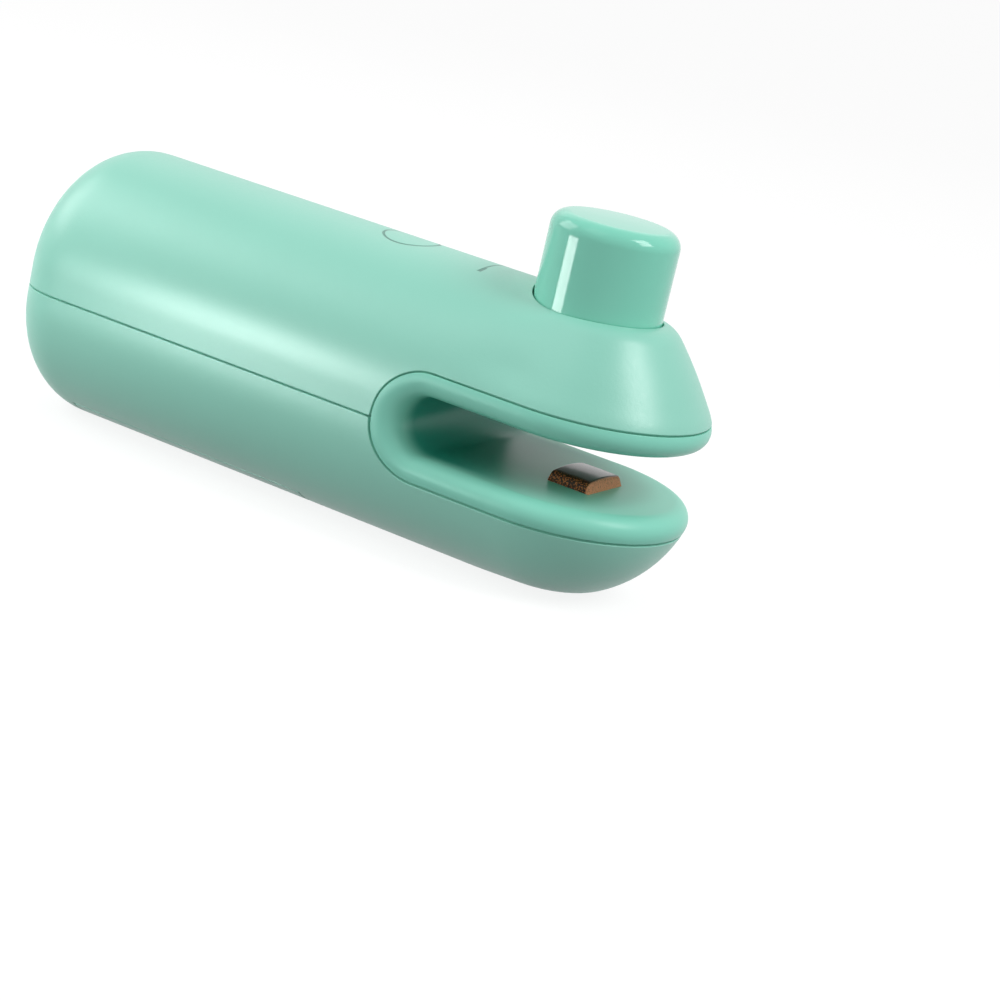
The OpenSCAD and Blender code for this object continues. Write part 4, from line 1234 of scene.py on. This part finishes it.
def cloth_finish(colour):
    """Coated glass cloth: dark gloss on top, bronze grains on the rolled sides, paler at the folded front end, where
    the pale colour is partly the cloth's own and partly painted light.
    """
    finish = Finish("cloth", IOR=1.42, Coat_Roughness=0.15, Specular_IOR_Level=0.2)
    x, _, z = finish.axes
    values = {"Vector": finish.spot, "Scale": 3.8, "Randomness": 0.9}
    grains = finish.add("ShaderNodeTexVoronoi", {"feature": "F1"}, values, out="Distance")
    speck = finish.noise(4.4, 3.0, 0.65)
    side = 1 - z.ramp(CLOTH_HIGH[2] - 0.8, CLOTH_HIGH[2] - 0.15)
    fold = x.ramp(CLOTH_HIGH[0] - 0.62, CLOTH_HIGH[0] - 0.42)
    grain = (1 - grains.ramp(0.30, 0.58)) * speck.ramp(0.34, 0.50)
    # The pale colour of the front end is partly the folded cloth's own paler tone and partly painted light, brightened
    # to stand in for light falling on that end
    dark, bronze, pale = rgba(colour, 0.32), rgba(colour, (5.6, 3.8, 2.2)), rgba(colour, (10.8, 8.7, 9.2))
    body = finish.mix(dark, bronze, grain * side)
    end = finish.mix(pale, dark, 0.42 * speck.ramp(0.46, 0.62))
    rough = side.most(fold)
    finish.set(Base_Color=finish.mix(body, end, fold * 0.85))
    finish.set(Roughness=0.32 + 0.25 * rough, Coat_Weight=0.62 - 0.58 * rough)
    finish.set(Normal=finish.bump(grain * rough * 0.06 + speck * 0.02, strength=0.8))
    return finish


def liner_finish(colour):
    """Smooth plastic, darkened towards the back of the mouth by painted shade."""
    finish = moulded("liner", colour, 0.34, 0.006, 0.35, shade=0.03, Specular_IOR_Level=0.3)
    x, y, _ = finish.axes
    # Painted shade: a darker, greener colour is mixed in deep inside the mouth, standing in for the shade that falls
    # there
    deep = (1 - x.ramp(25, 40)) * (1 - abs(y).ramp(13.5, 17.2))
    finish.set(Base_Color=finish.mix(finish.tone, rgba(colour, (0.02, 0.46, 0.41)), deep * 0.92))
    return finish


def metal_finish(name, colour, roughness):
    """Rolled or plated metal with faint drawn lines."""
    finish = Finish(name, Metallic=1.0)
    drawn = finish.add("ShaderNodeVectorMath", {"operation": "MULTIPLY"}, {0: finish.spot, 1: (1.0, 12.0, 12.0)})
    lines = finish.noise(0.8, 3.0, 0.6, drawn)
    finish.set(Base_Color=finish.mix(rgba(colour, 0.85), rgba(colour, 1.15), finish.noise(0.3)))
    finish.set(Roughness=roughness + 0.14 * (lines - 0.5), Normal=finish.bump(lines, 0.01))
    return finish


def cell_finish(name, colour, low_x, high_x, ahead):
    """Plain sleeve with a pale band at the nub's end and bare steel at both ends."""
    finish = Finish(name)
    x = finish.axes[0]
    sleeve = x.ramp(low_x, low_x + 0.05) * (1 - x.ramp(high_x - 0.05, high_x))
    speck = finish.noise(2.0, 3.0)
    if ahead > 0:
        band = x.ramp(high_x - CELL_BAND - 0.05, high_x - CELL_BAND)
    else:
        band = 1 - x.ramp(low_x + CELL_BAND, low_x + CELL_BAND + 0.05)
    paint = finish.mix(rgba(colour), (0.75, 0.74, 0.70, 1.0), band)
    finish.set(Base_Color=finish.mix((0.62, 0.61, 0.58, 1.0), paint, sleeve))
    finish.set(Metallic=1 - sleeve, Roughness=0.28 + 0.12 * (speck - 0.5), Normal=finish.bump(speck, 0.01))
    return finish


# Stage


def seen_rays(nodes):
    """1 for what the camera sees, also in a reflection or through a clear piece, 0 for light."""
    kinds = ("Is Camera Ray", "Is Glossy Ray", "Is Transmission Ray")
    camera, glossy, clear = [nodes.add("ShaderNodeLightPath", out=kind) for kind in kinds]
    return camera.most(glossy).most(clear)


def stage_floor(colour):
    """Large pale floor that keeps the shadow and is lifted to white for the camera."""
    corners = [(x * FLOOR_HALF, y * FLOOR_HALF, 0) for x, y in ((-1, -1), (1, -1), (1, 1), (-1, 1))]
    mesh = bpy.data.meshes.new("floor")
    mesh.from_pydata(corners, [], [(0, 1, 2, 3)])
    floor = placed("floor", mesh)
    finish = Finish("floor", Roughness=0.9, Specular_IOR_Level=0.0, Emission_Strength=1.0)
    finish.set(Base_Color=finish.mix(rgba(colour, 0.99), rgba(colour, 1.01), finish.noise(0.01)))
    finish.set(Emission_Color=finish.mix((0, 0, 0, 1), FLOOR_WHITE, seen_rays(finish)))
    mesh.materials.append(finish.material)


def stage_world():
    """Even light all round, white where the camera looks past the floor."""
    world = bpy.data.worlds.new("studio")
    world.use_nodes = True
    nodes = Nodes(world.node_tree)
    soft, white = [
        nodes.add("ShaderNodeBackground", None, {"Color": (1, 1, 1, 1), "Strength": strength})
        for strength in (STUDIO_LIGHT, 1.0)
    ]
    mix = nodes.add("ShaderNodeMixShader", None, [seen_rays(nodes), soft, white])
    nodes.add("ShaderNodeOutputWorld", None, {"Surface": mix})
    bpy.context.scene.world = world


def stage_camera():
    """Camera at the photograph's viewing angle."""
    data = bpy.data.cameras.new("camera")
    data.sensor_width, data.lens = 36, LENS
    data.shift_x, data.shift_y = SHIFT
    data.clip_start, data.clip_end = 0.01, 100
    eye, right = Vector(EYE).normalized(), Vector(RIGHT).normalized()
    rise = eye.cross(right).normalized()
    camera = placed("camera", data)
    turn = Matrix((right, rise, eye)).transposed().to_4x4()
    camera.matrix_world = Matrix.Translation(TARGET + eye * CAMERA_FAR) @ turn
    bpy.context.scene.camera = camera


def lamp(name, place, aim, size, power, *hidden):
    """Rectangular soft light aimed at a point, hidden from the camera and from the rays that are named."""
    data = bpy.data.lights.new(name, "AREA")
    data.shape, data.energy = "RECTANGLE", power
    data.size, data.size_y = size
    made = placed(name, data)
    made.location = place
    made.rotation_euler = (aim - Vector(place)).to_track_quat("-Z", "Y").to_euler()
    for rays in ("camera", *hidden):
        setattr(made, "visible_" + rays, False)


# Operators


class SEALER_OT_casings(bpy.types.Operator):
    """Upper and lower casing with soft seam edges, and the battery door"""

    bl_idname = "sealer.casings"
    bl_label = "Casings"

    def execute(self, context):
        shape, colour = context.scene.sealer_shape, context.scene.sealer_finish.casing_colour
        upper = upper_casing_sheet(shape).piece("upper_shell")
        settle(upper, "housing", casing_finish("casing_marked", colour, marks=True), "upper_casing")
        plain = casing_finish("casing", colour)
        settle(lower_casing_sheet(shape).piece("lower_shell"), "housing", plain, "lower_casing")
        settle(door_sheet(shape).piece("door_cover", sharp=50), "door", plain, "battery_door")
        return {"FINISHED"}


class SEALER_OT_liner(bpy.types.Operator):
    """Mouth liner whose rim runs flush with the casings"""

    bl_idname = "sealer.liner"
    bl_label = "Mouth liner"

    def execute(self, context):
        liner = liner_sheet(context.scene.sealer_shape).piece("mouth_lining", sharp=60)
        settle(liner, "housing", liner_finish(context.scene.sealer_finish.liner_colour), "mouth_liner")
        return {"FINISHED"}


class SEALER_OT_button(bpy.types.Operator):
    """Gloss press button and the silicone pad under its foot"""

    bl_idname = "sealer.button"
    bl_label = "Button"

    def execute(self, context):
        colour = context.scene.sealer_finish.button_colour
        button = button_sheet(context.scene.sealer_shape).piece("button_cap", sharp=50)
        gloss = moulded("button", colour, 0.08, 0.0015, 0.6, Specular_IOR_Level=0.4)
        settle(button, "button", gloss, "press_button")
        pad = bevelled_box("silicone_pad", *node_box("press_pad"), 0.35)
        settle(pad, "button", moulded("pad", (0.45, 0.08, 0.04), 0.5, 0.006, 0.4), "press_pad")
        return {"FINISHED"}


class SEALER_OT_heater(bpy.types.Operator):
    """Cloth-covered heater in the lower jaw"""

    bl_idname = "sealer.heater"
    bl_label = "Heater"

    def execute(self, context):
        cloth = cloth_sheet().piece("heater_cover", sharp=70)
        settle(cloth, "housing", cloth_finish(context.scene.sealer_finish.cloth_colour), "heater_cloth")
        return {"FINISHED"}


class SEALER_OT_fasteners(bpy.types.Operator):
    """Casing screws, guide screws and the coil spring"""

    bl_idname = "sealer.fasteners"
    bl_label = "Screws and spring"

    def execute(self, context):
        steel = metal_finish("steel", (0.6, 0.6, 0.58), 0.26)
        screws = screw_tree()
        sets = []
        for name, (places, tip) in SCREWS.items():
            points = [(x, 0.0, SCREW_SEAT_Z - SCREW_HEAD["Height"] / MM) for x in places]
            length = (tip - SCREW_SEAT_Z) * MM
            sets.append(screws.grow(name + "_screw_set", points, steel, **SCREW_HEAD, Length=length))
        settle(join_pieces("casing_screw_set", sets), "housing", steel, "casing_screws")
        # The guide's screws stand heads up, so they are made below the floor and turned over
        low, high = node_box("guide_screws")
        head = GUIDE_HEAD["Head"] / MM
        points = [((low[0] + high[0]) / 2, y, -high[2]) for y in (low[1] + head, high[1] - head)]
        length = (high[2] - low[2]) * MM - GUIDE_HEAD["Height"]
        small = screws.grow("guide_screw_set", points, steel, **GUIDE_HEAD, Length=length)
        small.data.transform(Matrix.Diagonal((1, -1, -1, 1)))
        settle(small, "housing", steel, "guide_screws")
        spring = tube_tree().grow("coil_spring", coil_line(), steel, linked=True, Radius=COIL_WIRE / 2 * MM, Sides=14)
        settle(spring, "housing", steel, "return_spring")
        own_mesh(spring)
        return {"FINISHED"}


class SEALER_OT_wiring(bpy.types.Operator):
    """Insulated wires between heater, switch and cells"""

    bl_idname = "sealer.wiring"
    bl_label = "Wires"

    def execute(self, context):
        tubes = tube_tree()
        kinds = {
            "wire_red": moulded("wire_red", (0.45, 0.04, 0.03), 0.4, 0.006, 0.5),
            "wire_dark": moulded("wire_dark", (0.03, 0.03, 0.035), 0.4, 0.006, 0.5, shade=0.2),
        }
        for node, route in ROUTES.items():
            slot = "wire_dark" if node == "wire_heater_to_switch" else "wire_red"
            line = smooth_route(route)
            wire = tubes.grow(node + "_run", line, kinds[slot], linked=True, Radius=WIRE_R * MM, Sides=18)
            settle(wire, "housing", kinds[slot], node)
        return {"FINISHED"}


class SEALER_OT_cells(bpy.types.Operator):
    """Two plain cells, set head to tail"""

    bl_idname = "sealer.cells"
    bl_label = "Cells"

    def execute(self, context):
        colour = context.scene.sealer_finish.sleeve_colour
        for node, ahead in (("battery_left", 1), ("battery_right", -1)):
            low, high = node_box(node)
            cell = cell_sheet(low, high, ahead).piece(node.replace("battery", "cell"), sharp=40)
            rear, front = CELL_BARE[::ahead]
            settle(cell, "housing", cell_finish(node, colour, low[0] + rear, high[0] - front, ahead), node)
        return {"FINISHED"}


class SEALER_OT_inner(bpy.types.Operator):
    """Finishes of the inner pieces, on smoothed copies of their solids"""

    bl_idname = "sealer.inner"
    bl_label = "Inner pieces"

    def execute(self, context):
        finishes = {
            "inner_plastic": moulded("inner_plastic", (0.8, 0.78, 0.7), 0.45, 0.008, 0.5),
            "dark_plastic": moulded("dark_plastic", (0.04, 0.04, 0.045), 0.42, 0.008, 0.5, shade=0.2),
            "brass": metal_finish("brass", (0.6, 0.4, 0.12), 0.3),
            "steel": metal_finish("plated_strip", (0.6, 0.6, 0.58), 0.28),
            "carrier": moulded("carrier", (0.42, 0.24, 0.1), 0.6, 0.02, 1.2, shade=0.3),
            "ribbon": metal_finish("ribbon", (0.35, 0.35, 0.34), 0.35),
        }
        slots = {s["node"]: s["material_slot"] for s in frame["record"]["subparts"]}
        bodies = {n: b for b, nodes in frame["record"]["behaviour"]["bodies"].items() for n in nodes}
        for node in (
            "plunger", "button_guide", "terminal_block", "contact_blade_upper", "contact_blade_lower",
            "heater_carrier", "heating_ribbon", "ribbon_clamps", "battery_cradle", "contact_front_left",
            "contact_front_right", "contact_bridge",
        ):
            settle(smooth_copy(node), bodies[node], finishes[slots[node]], node)
        return {"FINISHED"}


class SEALER_OT_stage(bpy.types.Operator):
    """Floor, soft studio light and camera"""

    bl_idname = "sealer.stage"
    bl_label = "Stage"

    def execute(self, context):
        stage_floor(context.scene.sealer_finish.floor_colour)
        stage_world()
        stage_camera()
        context.scene.view_settings.view_transform = "Standard"
        for settings in LAMPS:
            lamp(*settings)
        return {"FINISHED"}


class SEALER_PT_panel(bpy.types.Panel):
    """Settings and build steps"""

    bl_label = "Bag Sealer"
    bl_idname = "SEALER_PT_panel"
    bl_space_type = "VIEW_3D"
    bl_region_type = "UI"
    bl_category = "Bag Sealer"

    def draw(self, context):
        for group in (context.scene.sealer_shape, context.scene.sealer_finish):
            for key in group.__annotations__:
                self.layout.prop(group, key)
        for operator in OPERATORS:
            self.layout.operator(operator.bl_idname)


OPERATORS = (
    SEALER_OT_casings, SEALER_OT_liner, SEALER_OT_button, SEALER_OT_heater, SEALER_OT_fasteners, SEALER_OT_wiring,
    SEALER_OT_cells, SEALER_OT_inner, SEALER_OT_stage,
)
GROUPS = {"sealer_shape": SealerShape, "sealer_finish": SealerFinish}


def register():
    for cls in (*GROUPS.values(), *OPERATORS, SEALER_PT_panel):
        bpy.utils.register_class(cls)
    for key, group in GROUPS.items():
        setattr(bpy.types.Scene, key, bpy.props.PointerProperty(type=group))


def unregister():
    for key in GROUPS:
        delattr(bpy.types.Scene, key)
    for cls in (SEALER_PT_panel, *reversed(OPERATORS), *reversed(GROUPS.values())):
        bpy.utils.unregister_class(cls)


def main():
    register()
    for operator in OPERATORS:
        group, call = operator.bl_idname.split(".")
        getattr(getattr(bpy.ops, group), call)()


if __name__ == "__main__":
    main()
